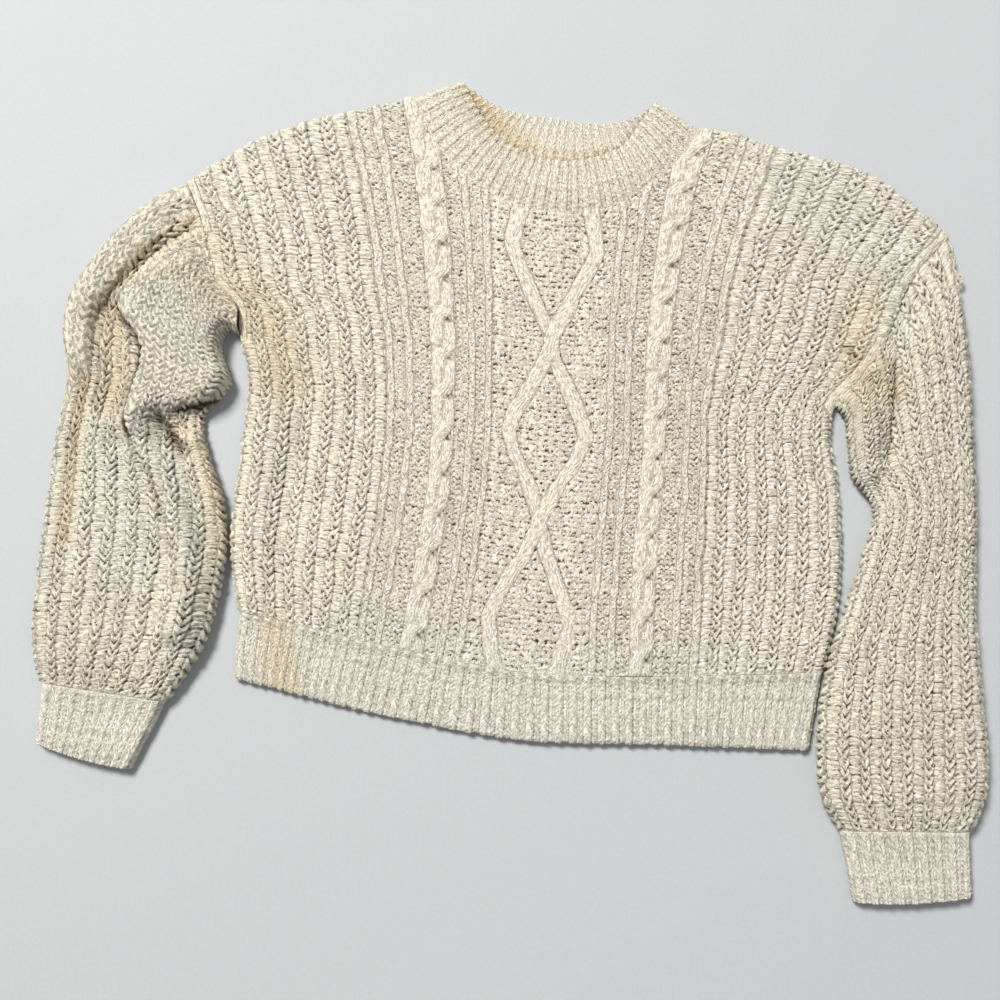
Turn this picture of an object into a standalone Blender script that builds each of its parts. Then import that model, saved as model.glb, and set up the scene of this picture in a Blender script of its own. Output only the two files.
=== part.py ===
"""A cropped cable-knit jumper, laid flat and face up, made of closed walls of cloth.

Lengths in the tables are millimetres, and each mesh is written in metres. X runs to the right, Y towards
the collar and Z up from the surface that the jumper lies on. The origin is on that surface, under the
middle of the garment's box. Left and right are as seen from above with the collar away.

Each knitted piece is one closed wall: front, back, two sleeves, neckband, two hem ribs and two cuffs.
A wall's inside is plain, and the ribs, ropes and diamonds are raised in its outer points. A place on the
front or back is given by its wale (mm to the right of the middle, in unstretched cloth) and its course
(mm above the hem rib).
"""

import bpy
import numpy as np
from mathutils import Vector
from mathutils.geometry import delaunay_2d_cdt

MM = 0.001
BOX_CENTRE = (-1.1, 15.8)  # middle of the garment's box in the tables' X and Y

# Cloth.
WALL = 4.0  # the knit's thickness without its ribs and cables
SEAM_GAP = 0.35  # between two pieces along a seam
LAYER_GAP = 0.4  # between two layers that lie on each other
HOLLOW = 3.4  # most height left open between the two layers of a flattened tube
EDGE_HEIGHT = 0.42  # height of a tube's edge, as a share of its top's height
FLAT_INSET = 4.0  # how far in from its edge a tube lies flat on the surface
LINING_CLEAR = 12.0  # least distance of a panel's inner points from its outline
OUTLINE_CLEAR = 3.0  # least distance of its raised points from its outline
FRONT_UNDER = WALL + LAYER_GAP  # height of the front's inner side
EDGE_WALL = 2.6  # the front's thickness along its edges, where the knit rolls down
EDGE_ROLL = 9.0  # width of that roll
FRONT_SWELL = 2.0  # how much further the front lies above the back in the middle

# Knitted pattern of the front. It is the same on both sides of the middle.
SIDE_WALE = 241.0  # wale of the side seams
ROPE_WALE = 87.0
ROPE_HALF_WIDTH = 10.5
ROPE_RISE = 3.4
ROPE_PITCH = 33.0  # one twist of the rope
ROPE_SLANT = 1.1  # how steeply the upper strand climbs to the right
ROPE_DIP = 0.28  # how much the rope sinks between two lobes, as a share of half its rise
DIAMOND_HALF_WIDTH = 7.5  # of one strand
DIAMOND_RISE = 2.6
DIAMOND_FIELD = 43.0  # half the width of the field that the strands cross
DIAMOND_COLUMNS = 20  # columns of points in that field, every other one half a row higher
DIAMOND_ROW = 6.6  # course step there
SINGLE_RIBS = (50.0, 64.0, 114.0, 129.0)
SINGLE_RIB_HALF_WIDTH = 5.0
SINGLE_RIB_RISE = 1.6
FISHER_PITCH = 16.4  # half-fisherman rib: one knit wale and one ladder of bars
FISHER_RISE = 1.3
FISHER_COUNT = 6
ROPE_ROW = ROPE_PITCH / 4  # course step on the ropes
PLAIN_ROW = 33.0  # course step in the ribs, which run straight up
TOP_COURSE = 480.0  # a course above the highest point of the front
LINING_GRID = 70.0  # spacing of the inner side's points

# Ribbed bands.
HEM_RIBS = 46
HEM_RISE = 1.5
HEM_EDGE_DROP = 1.4  # how much lower the hem lies at its two edges
HEM_ROWS = (0.08, 0.5, 0.92)  # shares of the way down at which the ribs are raised
CUFF_RIBS = 11
CUFF_RISE = 1.5
CUFF_CREST = 12.0
CUFF_EDGE = 8.0  # width over which a cuff's top rounds down to its edge
CUFF_ROWS = (0.0, 0.4, 1.0)  # how much of its sag each row of the cuff's sections has
NECK_RIBS = 37
NECK_RISE = 1.5
NECK_WALL = 5.2  # the neckband is folded double
BAND_DEPTH = 45.0  # from the neckband's seam to its edge
BAND_ROWS = (SEAM_GAP / BAND_DEPTH, 0.3, 0.8, 1.0)  # shares of that way at which it has points
BAND_LINING_ROWS = (0.09, 0.5, 1.0)  # the same for its inner side
BAND_FOLD_INSET = 0.045  # how far the inner side stays back from the folds at both ends
BAND_BACK_POINTS = 25  # points round the back half
BAND_BACK_INSET = 0.025  # their distance from the folds, as a share of the way round
BAND_LINING_INSET = 0.06  # the same for the inner side, of which the front half has 13 points
BAND_LINING_FRONT = 13
BAND_LINING_BACK = 9

# Sleeves.
SLEEVE_STEP = 15.0  # distance between two rings of points
SLEEVE_RISE = 1.6  # of a knit wale
SLEEVE_LINING = (7, 3)  # points of the inner side over the top and underneath
UNDERSIDE_POINTS = 5  # points of a tube's underside
CUFF_LINING = (5, 3)
ARMHOLE_GAP = 0.42  # between the armhole and the sleeve, to the side
SLEEVE_EDGE = 12.0  # width over which a sleeve's top rounds down to its edge
SLEEVE_LOWEST = 9.6  # least height of a sleeve's top inside its edges
LINING_START = 0.35  # station at which the inner side and the underside start, back from the curved armhole
ARMHOLE_TIP_COURSE = {"left": 372.0, "right": 398.0}
UNDERARM_COURSE = {"left": 234.0, "right": 223.0}

# Five wales of the front as they lie: (course, x, y).
WALE_LINES = {
    -SIDE_WALE: (
        (0, -218, -97), (46, -226, -51), (132, -220, 35), (206, -217, 108), (234, -225, 134),
        (255, -227, 155), (288, -248, 182), (334, -258, 227), (372, -274, 267), (480, -308, 366),
    ),
    -ROPE_WALE: ((0, -80, -129), (65, -68, -64), (148, -57, 18), (380, -65, 250), (480, -79, 350)),
    0.0: ((0, 12, -146), (34, 15, -112), (165, 29, 18), (354, 39, 206), (480, 46, 332)),
    ROPE_WALE: ((0, 105, -149), (85, 110, -64), (167, 118, 18), (286, 126, 136), (401, 144, 250),
                (480, 166, 329)),
    SIDE_WALE: (
        (0, 252, -146), (60, 266, -88), (101, 270, -47), (142, 270, -6), (223, 271, 74),
        (254, 293, 97), (283, 310, 120), (312, 322, 146), (343, 334, 174), (398, 373, 219),
        (480, 425, 280),
    ),
}

# The same five wales where they end at the hem's lower edge: x, y.
HEM_EDGE = {-SIDE_WALE: (-222, -150), -ROPE_WALE: (-92, -181), 0.0: (10, -199), ROPE_WALE: (104, -202),
            SIDE_WALE: (239, -207)}

# Where the left strand of the diamonds lies: (course, mm to the right of the middle). The right one mirrors it.
DIAMOND_STRAND = ((-12, -20), (38, -32), (122, 0), (195, 32), (272, 0), (354, -32), (400, -24))

# Seams and edges at the top: x, y.
LEFT_SHOULDER = ((-274, 267), (-252, 282), (-218, 303), (-190, 315), (-140, 329), (-82, 344))
RIGHT_SHOULDER = ((163, 314), (186, 313), (222, 300), (261, 289), (305, 275), (341, 248), (373, 219))
FRONT_NECK = ((-82, 344), (-62, 300), (-38, 274), (-2, 249), (50, 239), (98, 249), (131, 273), (152, 294),
              (163, 314))
BACK_NECK = ((-82, 344), (-64, 318), (-26, 292), (40, 277), (108, 286), (146, 300), (163, 314))
BAND_FRONT_EDGE = ((-39, 357), (-23, 325), (-5, 303), (24, 288), (62, 285), (98, 299), (115, 322), (127, 339))
BAND_BACK_EDGE = ((-39, 357), (-12, 338), (37, 326), (84, 321), (110, 327), (127, 339))

# Height of the front half of the neckband's outer side: (share of the way from seam to edge, z).
BAND_HEIGHT = ((0.0, 8.4), (0.3, 12.0), (0.8, 12.6), (1.0, 11.0))

# Sleeves from armhole to cuff, one row a section: outer x, outer y, inner x, inner y, height of its top.
# The first section is the armhole, whose edges come from the front.
SLEEVE_SECTIONS = {
    "left": (
        (-274, 267, -225, 134, 12), (-303, 249, -234, 138, 15), (-330, 222, -240, 129, 17),
        (-351, 193, -240, 116, 18), (-366, 166, -236, 104, 18), (-371, 136, -232, 91, 17),
        (-366, 102, -243, 77, 16), (-369, 74, -255, 62, 15), (-374, 38, -250, 34, 16),
        (-377, -4, -236, -6, 17), (-381, -45, -232, -45, 18), (-383, -84, -237, -86, 19),
        (-383, -116, -246, -120, 19), (-380, -138, -261, -147, 17), (-376, -154, -277, -169, 14),
    ),
    "right": (
        (373, 219, 272, 75, 12), (377, 178, 280, 64, 15), (379, 138, 281, 47, 16),
        (381, 100, 282, 30, 17), (381, 61, 284, 12, 17), (381, 20, 296, -4, 17),
        (380, -20, 299, -22, 17), (378, -62, 287, -60, 18), (376, -100, 272, -98, 19),
        (377, -140, 258, -138, 20), (378, -178, 249, -176, 21), (379, -212, 246, -210, 21),
        (376, -243, 249, -244, 19), (364, -270, 262, -269, 15),
    ),
}

# Knit wales that each sleeve shows across its top.
SLEEVE_WALES = {"left": 8, "right": 7}

# Folds, one row each: (half width, rise, crispness, path of x, y). A negative rise is a trough. Crispness 2
# is a soft wave, and 4 has a flat top and steep sides. Where folds meet, the highest and the deepest count.
SLEEVE_FOLDS = {
    "left": (
        (32, 12, 4, ((-288, 168), (-262, 152))),  # cloth bunched up under the arm
        (22, 9, 4, ((-276, 140), (-256, 102))),  # its tip, which laps over the sleeve
        (9, -5, 2, ((-278, 212), (-306, 205), (-324, 184), (-331, 160), (-323, 140))),
        (13, -6, 2, ((-333, 140), (-326, 112), (-330, 84))),
        (11, 5, 2, ((-300, 100), (-308, 72), (-311, 56), (-296, 20), (-277, -16), (-262, -50))),
        (9, 4, 2, ((-284, 58), (-256, 48), (-245, 14), (-240, -30))),
        (12, -6, 2, ((-268, 42), (-272, 0), (-262, -50))),
        (12, -5, 2, ((-283, 68), (-250, 72))),
    ),
    "right": (
        (8, -8, 2, ((331, 172), (322, 146), (323, 108), (320, 74), (313, 40), (306, 6))),
        (26, 3, 2, ((348, 160), (348, 70), (338, -10), (328, -90), (316, -170))),
        (10, -5, 2, ((288, 112), (312, 104))),
    ),
}
BODY_FOLDS = (
    (13, 2.0, 2, ((-206, 112), (-198, 51), (-203, -20), (-204, -84))),
    (11, -2.0, 2, ((-165, 120), (-167, 52), (-181, 8), (-184, -60))),
    (16, -1.6, 2, ((-207, 156), (-188, 124))),
    (18, -1.5, 2, ((240, 262), (273, 246), (301, 224), (330, 204))),
    (16, 2.0, 2, ((352, 212), (338, 190))),
    (16, -1.6, 2, ((262, 128), (258, 92))),
)

# Cuffs, from their seam to their edge: outer x, outer y, inner x, inner y.
CUFF_SECTIONS = {
    "left": ((-376, -154, -277, -169), (-377, -178, -284, -184), (-379, -201, -303, -222)),
    "right": ((364, -270, 262, -269), (364, -294, 267, -296), (364, -320, 271, -324)),
}
CUFF_SAG = 3.0  # how far the middle of a cuff's edge hangs below the line between its ends

CLOTH_COLOURS = {
    "front_panel": (0.74, 0.68, 0.55), "back_panel": (0.70, 0.64, 0.51), "sleeve_left": (0.73, 0.67, 0.54),
    "sleeve_right": (0.73, 0.67, 0.54), "neckband": (0.75, 0.69, 0.57), "hem_rib_front": (0.74, 0.69, 0.57),
    "hem_rib_back": (0.70, 0.65, 0.53), "cuff_left": (0.73, 0.68, 0.56), "cuff_right": (0.73, 0.68, 0.56),
}
CLOTH_ROUGHNESS = 0.95
CLOTH_SHARPNESS = np.radians(50.0)  # edges that turn more than this are shaded sharp
RIB_SHARPNESS = np.radians(18.0)  # the same for the ribbed bands, where each rib has two sharp sides


def clear_scene():
    for thing in list(bpy.data.objects):
        bpy.data.objects.remove(thing, do_unlink=True)


# ---------------------------------------------------------------------------------------------- curves


def smooth(places, knots, values):
    """Values at places, on a smooth curve through values[k] at knots[k]. Values may hold a row for each knot."""
    places = np.atleast_1d(np.asarray(places, float))
    knots = np.asarray(knots, float)
    values = np.asarray(values, float)
    if values.ndim == 1:
        values = np.repeat(values[:, None], places.size, axis=1)
    slopes = np.gradient(values, knots, axis=0)
    low = np.clip(np.searchsorted(knots, places, side="right") - 1, 0, len(knots) - 2)
    each = np.arange(places.size)
    span = knots[low + 1] - knots[low]
    s = (places - knots[low]) / span
    start, end = values[low, each], values[low + 1, each]
    leave, arrive = slopes[low, each] * span, slopes[low + 1, each] * span
    return (
        (2 * s**3 - 3 * s**2 + 1) * start + (s**3 - 2 * s**2 + s) * leave
        + (3 * s**2 - 2 * s**3) * end + (s**3 - s**2) * arrive
    )


def along(points, shares):
    """Points at these shares of the way along a smooth curve through the given points."""
    points = np.asarray(points, float)
    reach = np.concatenate([[0], np.cumsum(np.linalg.norm(np.diff(points, axis=0), axis=1))])
    places = np.asarray(shares) * reach[-1]
    return np.stack([smooth(places, reach, points[:, 0]), smooth(places, reach, points[:, 1])], axis=1)


def panel_point(wale, course):
    """Where this wale and course of the front or back lie, as an array of x, y."""
    wale = np.atleast_1d(np.asarray(wale, float))
    wale, course = np.broadcast_arrays(wale, np.asarray(course, float))
    knots = sorted(WALE_LINES)
    lines = [np.array(WALE_LINES[knot], float) for knot in knots]
    xs = [smooth(course, line[:, 0], line[:, 1]) for line in lines]
    ys = [smooth(course, line[:, 0], line[:, 2]) for line in lines]
    return np.stack([smooth(wale, knots, np.array(xs)), smooth(wale, knots, np.array(ys))], axis=1)


def hem_point(wale, share):
    """A point of the hem rib, share of the way down from its seam to its edge."""
    knots = sorted(HEM_EDGE)
    ends = np.array([HEM_EDGE[knot] for knot in knots], float)
    edge = np.stack([smooth(wale, knots, ends[:, 0]), smooth(wale, knots, ends[:, 1])], axis=1)
    seam = panel_point(wale, 0.0) - (0.0, SEAM_GAP)
    return seam + (edge - seam) * np.reshape(share, (-1, 1))


def distance_to(path, places):
    """Distance of each place from a path of straight runs."""
    path = np.asarray(path, float)
    start, run = path[:-1], np.diff(path, axis=0)
    off = places[:, None, :] - start[None]
    share = np.clip((off * run).sum(2) / (run * run).sum(1), 0, 1)
    return np.linalg.norm(off - share[..., None] * run, axis=2).min(axis=1)


def fold_height(folds, places):
    """How much these folds lift each place."""
    highest, deepest = np.zeros(len(places)), np.zeros(len(places))
    for half_width, rise, crispness, path in folds:
        lift = rise * np.exp(-((distance_to(path, places) / half_width) ** crispness))
        highest, deepest = np.maximum(highest, lift), np.minimum(deepest, lift)
    return highest + deepest


def inside(loop, places):
    """Whether each place lies inside a closed loop."""
    x, y = places[:, 0:1], places[:, 1:2]
    x0, y0 = loop[:, 0], loop[:, 1]
    x1, y1 = np.roll(x0, -1), np.roll(y0, -1)
    spans = (y0 > y) != (y1 > y)
    rise = np.where(y1 == y0, 1.0, y1 - y0)
    return ((spans & (x < (x1 - x0) * (y - y0) / rise + x0)).sum(axis=1) % 2) == 1


# ------------------------------------------------------------------------------------- knitted relief


def ridge(off, half_width):
    """A rounded ridge: 1 on its line and 0 from half_width away."""
    return np.cos(np.clip(np.abs(off) / half_width, 0, 1) * np.pi / 2) ** 2


def rope_height(off, course):
    """A two-strand rope: rounded lobes that lie slantwise, one for each twist."""
    turn = 2 * np.pi * (course - ROPE_SLANT * off) / ROPE_PITCH
    lobes = 1 - ROPE_DIP + ROPE_DIP * np.cos(turn)
    return ROPE_RISE * np.sqrt(ridge(off, ROPE_HALF_WIDTH)) * lobes


def strand_offset(course):
    """How far the left diamond strand lies to the right of the middle. It levels out at each turn."""
    rows = np.array(DIAMOND_STRAND, float)
    low = np.clip(np.searchsorted(rows[:, 0], course, side="right") - 1, 0, len(rows) - 2)
    t = (course - rows[low, 0]) / (rows[low + 1, 0] - rows[low, 0])
    t = np.clip(t, 0, 1)
    return rows[low, 1] + (rows[low + 1, 1] - rows[low, 1]) * t * t * (3 - 2 * t)


def front_relief(wale, course):
    """Height of the front's ribs, ropes and diamonds above its plain knit."""
    height = np.zeros(np.broadcast(wale, course).shape)
    aside = np.abs(wale)
    for rib in SINGLE_RIBS:
        height = np.maximum(height, SINGLE_RIB_RISE * ridge(aside - rib, SINGLE_RIB_HALF_WIDTH))
    for k in range(1, FISHER_COUNT + 1):
        wales = SINGLE_RIBS[-1] + k * FISHER_PITCH
        height = np.maximum(height, FISHER_RISE * ridge(aside - wales, FISHER_PITCH / 2))
    for side in (-1, 1):
        height = np.maximum(height, rope_height(wale - side * ROPE_WALE, course))
        strand = DIAMOND_RISE * ridge(wale - side * strand_offset(course), DIAMOND_HALF_WIDTH)
        height = np.maximum(height, strand)
    return height


# --------------------------------------------------------------------------------------------- meshes


def add_piece(name, points, faces):
    """One closed wall as a named object with its own knitted material. Points are in the tables' millimetres."""
    ribbed = name.startswith(("hem", "cuff", "neck"))
    placed = (np.asarray(points, float) - (*BOX_CENTRE, 0.0)) * MM
    mesh = bpy.data.meshes.new(name)
    mesh.from_pydata(placed.tolist(), [], [tuple(map(int, face)) for face in faces])
    mesh.shade_smooth()
    mesh.set_sharp_from_angle(angle=RIB_SHARPNESS if ribbed else CLOTH_SHARPNESS)
    cloth = bpy.data.materials.new(name + "_knit")
    cloth.use_nodes = True
    shader = cloth.node_tree.nodes["Principled BSDF"]
    shader.inputs["Base Color"].default_value = (*CLOTH_COLOURS[name], 1.0)
    shader.inputs["Roughness"].default_value = CLOTH_ROUGHNESS
    shader.inputs["Metallic"].default_value = 0.0
    mesh.materials.append(cloth)
    thing = bpy.data.objects.new(name, mesh)
    bpy.context.collection.objects.link(thing)
    return thing


def triangulate(loop, columns):
    """Fills a loop with triangles that keep each column's points in line. Returns the places and the triangles."""
    places = [tuple(place) for place in loop]
    count = len(places)
    lines = [(i, (i + 1) % count) for i in range(count)]
    for column in columns:
        first = len(places)
        places += [tuple(place) for place in column]
        lines += [(i, i + 1) for i in range(first, len(places) - 1)]
    vectors = [Vector(place) for place in places]
    found, _, faces, *_ = delaunay_2d_cdt(vectors, lines, [], 1, 1e-6)
    if len(found) != len(places):
        raise ValueError("two columns of points cross")
    placed = np.array([tuple(place) for place in found])
    corners = placed[np.array(faces)]
    area = np.cross(corners[:, 1] - corners[:, 0], corners[:, 2] - corners[:, 0])
    return placed, [face if turn > 0 else face[::-1] for face, turn in zip(faces, area)]


def runs_inside(loop, column, clear):
    """The parts of a column that stay inside the loop, clear of its edge. A lone point is a run too."""
    closed = np.vstack([loop, loop[:1]])
    good = inside(loop, column) & (distance_to(closed, column) > clear)
    runs, current = [], []
    for place, kept in zip(range(len(column)), good):
        if kept:
            current.append(place)
        elif current:
            runs.append(current)
            current = []
    return runs + ([current] if current else [])


def add_plate(name, loop, columns, outer_height, inner_height, edge_height):
    """A wall over a closed loop. Its outer side holds the columns' points, each with its own relief.

    columns holds (places, relief) pairs. The heights are functions of places, and edge_height gives the outer
    side's height along the loop.
    """
    loop = np.asarray(loop, float)
    kept, relief = [], []
    for places, raised in columns:
        for run in runs_inside(loop, places, OUTLINE_CLEAR):
            kept.append(places[run])
            relief.append(raised[run])
    placed, top = triangulate(loop, kept)
    count = len(loop)
    heights = np.empty(len(placed))
    heights[:count] = edge_height(placed[:count])
    if kept:
        heights[count:] = outer_height(placed[count:]) + np.concatenate(relief)
    low, high = loop.min(axis=0), loop.max(axis=0)
    grid = [
        np.array([(x, y) for y in np.arange(low[1], high[1], LINING_GRID)])
        for x in np.arange(low[0] + LINING_GRID / 2, high[0], LINING_GRID)
    ]
    lining = [column[run] for column in grid for run in runs_inside(loop, column, LINING_CLEAR)]
    under, bottom = triangulate(loop, lining)
    shift = len(placed)
    points = np.vstack([np.column_stack([placed, heights]), np.column_stack([under, inner_height(under)])])
    faces = [tuple(face) for face in top]
    faces += [tuple(corner + shift for corner in face[::-1]) for face in bottom]
    for i in range(count):
        j = (i + 1) % count
        faces.append((i, shift + i, shift + j, j))
    return add_piece(name, points, faces)


def ring_faces(size, first, second):
    """Faces between two rings of this many points, which start at these places in the list of points."""
    after = [(i + 1) % size for i in range(size)]
    return [(first + i, first + j, second + j, second + i) for i, j in enumerate(after)]


def rim_faces(outer, inner, outer_turn, inner_turn):
    """Triangles that close the end of a tube between its outer and inner ring, paired by their turns."""
    faces, i, j = [], 0, 0
    m, n = len(outer), len(inner)
    while i < m or j < n:
        next_outer = outer_turn[i + 1] if i + 1 < m else 1.0
        next_inner = inner_turn[j + 1] if j + 1 < n else 1.0
        if j == n or (i < m and next_outer <= next_inner):
            faces.append((outer[i], outer[(i + 1) % m], inner[j % n]))
            i += 1
        else:
            faces.append((outer[i % m], inner[(j + 1) % n], inner[j]))
            j += 1
    return faces


def add_tube(name, outer_rings, inner_rings, outer_turn, inner_turn):
    """A wall round a flattened hollow, open at both ends. Each ring is an array of points."""
    m, n = len(outer_turn), len(inner_turn)
    points = np.vstack([*outer_rings, *inner_rings])
    shift = m * len(outer_rings)
    faces = []
    for k in range(len(outer_rings) - 1):
        faces += ring_faces(m, k * m, (k + 1) * m)
    for k in range(len(inner_rings) - 1):
        faces += ring_faces(n, shift + (k + 1) * n, shift + k * n)
    last_outer, last_inner = m * (len(outer_rings) - 1), shift + n * (len(inner_rings) - 1)
    start = rim_faces(range(m), range(shift, shift + n), outer_turn, inner_turn)
    end = rim_faces(range(last_outer, last_outer + m), range(last_inner, last_inner + n), outer_turn, inner_turn)
    faces += [face[::-1] for face in start] + end
    thing = add_piece(name, points, faces)
    corners = np.array([v.co for v in thing.data.vertices])
    thing.data.calc_loop_triangles()
    ids = np.array([tuple(t.vertices) for t in thing.data.loop_triangles])
    if np.linalg.det(corners[ids]).sum() < 0:
        thing.data.flip_normals()
    return thing


# ------------------------------------------------------------------------------------- front and back


def sleeve_over(side):
    """How many points a ring of the sleeve has over its top, between its edges."""
    return 2 * SLEEVE_WALES[side] + 3


def arm_shares(side):
    """Shares of the way from shoulder tip to underarm at which armhole and sleeve both have a point."""
    return np.linspace(0.0, 1.0, sleeve_over(side) + 2)


def armhole(side, shares):
    """Points of the armhole seam on the front's edge, from the shoulder tip down."""
    tip, pit = ARMHOLE_TIP_COURSE[side], UNDERARM_COURSE[side]
    wale = -SIDE_WALE if side == "left" else SIDE_WALE
    return panel_point(wale, tip + (pit - tip) * np.asarray(shares))


def side_edge(side):
    """The front's edge from the shoulder tip down to the hem rib."""
    wale = -SIDE_WALE if side == "left" else SIDE_WALE
    below = np.linspace(UNDERARM_COURSE[side], 0.0, 11)[1:]
    return np.vstack([armhole(side, arm_shares(side)), panel_point(wale, below)])


def band_shares():
    """Shares of the way round the front half of the neck at which neckband and front both have a point."""
    return (np.arange(2 * NECK_RIBS - 1) + 1.0) / (2 * NECK_RIBS)


def back_shares():
    """Shares of the way round the back half of the neck at which neckband and back both have a point."""
    return np.linspace(BAND_BACK_INSET, 1 - BAND_BACK_INSET, BAND_BACK_POINTS)


def panel_loop(neck, neck_shares):
    """The outline of the front or back, anticlockwise from the left end of the hem rib."""
    bottom = panel_point(np.linspace(-SIDE_WALE, SIDE_WALE, 31), 0.0)
    right = side_edge("right")[::-1]
    shoulder_right = along(RIGHT_SHOULDER[::-1], np.linspace(0, 1, 10))
    neckline = along(neck, np.asarray(neck_shares)[::-1])
    shoulder_left = along(LEFT_SHOULDER[::-1], np.linspace(0, 1, 11))
    left = side_edge("left")
    return np.vstack([bottom, right[1:-1], shoulder_right, neckline, shoulder_left, left[1:-1]])


def pattern_columns():
    """The columns of points that the front's pattern needs, as (wale, first course, course step)."""
    field = np.linspace(-DIAMOND_FIELD, DIAMOND_FIELD, DIAMOND_COLUMNS)
    columns = [(wale, DIAMOND_ROW * (0.5 + 0.5 * (i % 2)), DIAMOND_ROW) for i, wale in enumerate(field)]
    rope = np.linspace(-ROPE_HALF_WIDTH, ROPE_HALF_WIDTH, 6)
    offsets = np.array([-1.0, -0.5, 0.0, 0.5, 1.0]) * SINGLE_RIB_HALF_WIDTH
    ribs = [rib + offset for rib in SINGLE_RIBS for offset in offsets]
    ribs += list(SINGLE_RIBS[-1] + FISHER_PITCH * np.arange(0.5, FISHER_COUNT + 0.6, 0.25))
    for side in (-1, 1):
        columns += [(side * ROPE_WALE + off, ROPE_ROW / 2, ROPE_ROW) for off in rope]
        columns += [(side * rib, PLAIN_ROW / 2, PLAIN_ROW) for rib in ribs]
    return columns


def edge_share(loop):
    """A function that says how far each place is from the loop's edge, from 0 on it to 1 past its roll."""
    closed = np.vstack([loop, loop[:1]])

    def share(places):
        near = np.clip(distance_to(closed, places) / EDGE_ROLL, 0, 1)
        return np.sqrt(1 - (1 - near) ** 2)

    return share


def add_front():
    loop = panel_loop(FRONT_NECK, band_shares())
    rounded = edge_share(loop)
    columns = []
    for wale, first, step in pattern_columns():
        course = np.arange(first, TOP_COURSE, step)
        places = panel_point(wale, course)
        columns.append((places, front_relief(wale, course) * rounded(places)))

    def outer(places):
        full = WALL + FRONT_SWELL + fold_height(BODY_FOLDS, places)
        return FRONT_UNDER + EDGE_WALL + (full - EDGE_WALL) * rounded(places)

    def inner(places):
        return FRONT_UNDER + FRONT_SWELL * (rounded(places) > 0.99)

    return add_plate("front_panel", loop, columns, outer, inner, lambda places: FRONT_UNDER + EDGE_WALL)


def add_back():
    loop = panel_loop(BACK_NECK, back_shares())
    return add_plate(
        "back_panel", loop, [], None, lambda places: np.zeros(len(places)), lambda places: WALL
    )


def hem_loop():
    """The outline of the hem rib, with a point on each rib and between each two."""
    wales = np.linspace(-SIDE_WALE, SIDE_WALE, 2 * HEM_RIBS + 1)
    lower = hem_point(wales, np.ones(len(wales)))
    upper = hem_point(wales[::-1], np.zeros(len(wales)))
    return wales, np.vstack([lower, upper])


def add_hem(name, under, ribbed):
    wales, loop = hem_loop()
    on_rib = np.arange(len(wales)) % 2

    def edge(places):
        ribs = np.concatenate([on_rib, on_rib[::-1]]) if ribbed else np.zeros(2 * len(wales))
        return under + WALL - HEM_EDGE_DROP + HEM_RISE * ribs

    columns = []
    for wale, rib in zip(wales, on_rib):
        if ribbed:
            columns.append((hem_point(wale, HEM_ROWS), np.full(len(HEM_ROWS), HEM_RISE * rib)))

    def outer(places):
        return np.full(len(places), under + WALL) + fold_height(BODY_FOLDS, places)

    return add_plate(name, loop, columns, outer, lambda places: np.full(len(places), under), edge)


# -------------------------------------------------------------------------------------- sleeves, cuffs


def tube_turns(over, under):
    """Turns of a ring with a point at each edge, this many over the top and this many below."""
    top = 0.5 * np.arange(over + 2) / (over + 1)
    return np.concatenate([top, 0.5 + 0.5 * np.arange(1, under + 1) / (under + 1)])


def tube_shares(width, over, under, lining):
    """Shares across a flattened tube, from edge to edge over its top and then back along its underside."""
    inset = WALL / width if lining else 0.0
    flat = inset + FLAT_INSET / width
    return np.linspace(inset, 1 - inset, over + 2), np.linspace(1 - flat, flat, under)


def tube_lid(outer):
    """Height of the inner side under the top of a tube, whose hollow is low and closes towards the edges."""
    lid = np.clip(outer - WALL, WALL + LAYER_GAP, WALL + HOLLOW)
    lid[[0, -1]] = WALL + LAYER_GAP / 2
    return lid


def rounding(shares, width, radius):
    """Height of a rounded edge, from 0 at both edges of a section to 1 a radius inside them."""
    near = np.clip(np.minimum(shares, 1 - shares) * width / radius, 0, 1)
    return np.sqrt(1 - (1 - near) ** 2)


def sleeve_place(side, station, shares):
    """Points across a sleeve at one station, which counts its sections. Station 0 is the armhole."""
    rows = np.array(SLEEVE_SECTIONS[side], float)
    shares = np.asarray(shares, float)
    outward = -ARMHOLE_GAP if side == "left" else ARMHOLE_GAP
    first = armhole(side, shares) + (outward, 0.0)
    lines = [first]
    for row in rows[1:]:
        lines.append(row[0:2] + (row[2:4] - row[0:2]) * shares[:, None])
    lines = np.array(lines)
    knots = np.arange(len(rows))
    at = np.full(len(shares), station)
    return np.stack([smooth(at, knots, lines[:, :, 0]), smooth(at, knots, lines[:, :, 1])], axis=1)


def sleeve_stations(side):
    """Stations about one step apart along the middle of the sleeve."""
    count = len(SLEEVE_SECTIONS[side])
    fine = np.linspace(0, count - 1, 200)
    middle = np.array([sleeve_place(side, station, np.array([0.5]))[0] for station in fine])
    reach = np.concatenate([[0], np.cumsum(np.linalg.norm(np.diff(middle, axis=0), axis=1))])
    steps = int(round(reach[-1] / SLEEVE_STEP))
    return np.interp(np.linspace(0, reach[-1], steps + 1), reach, fine)


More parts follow.
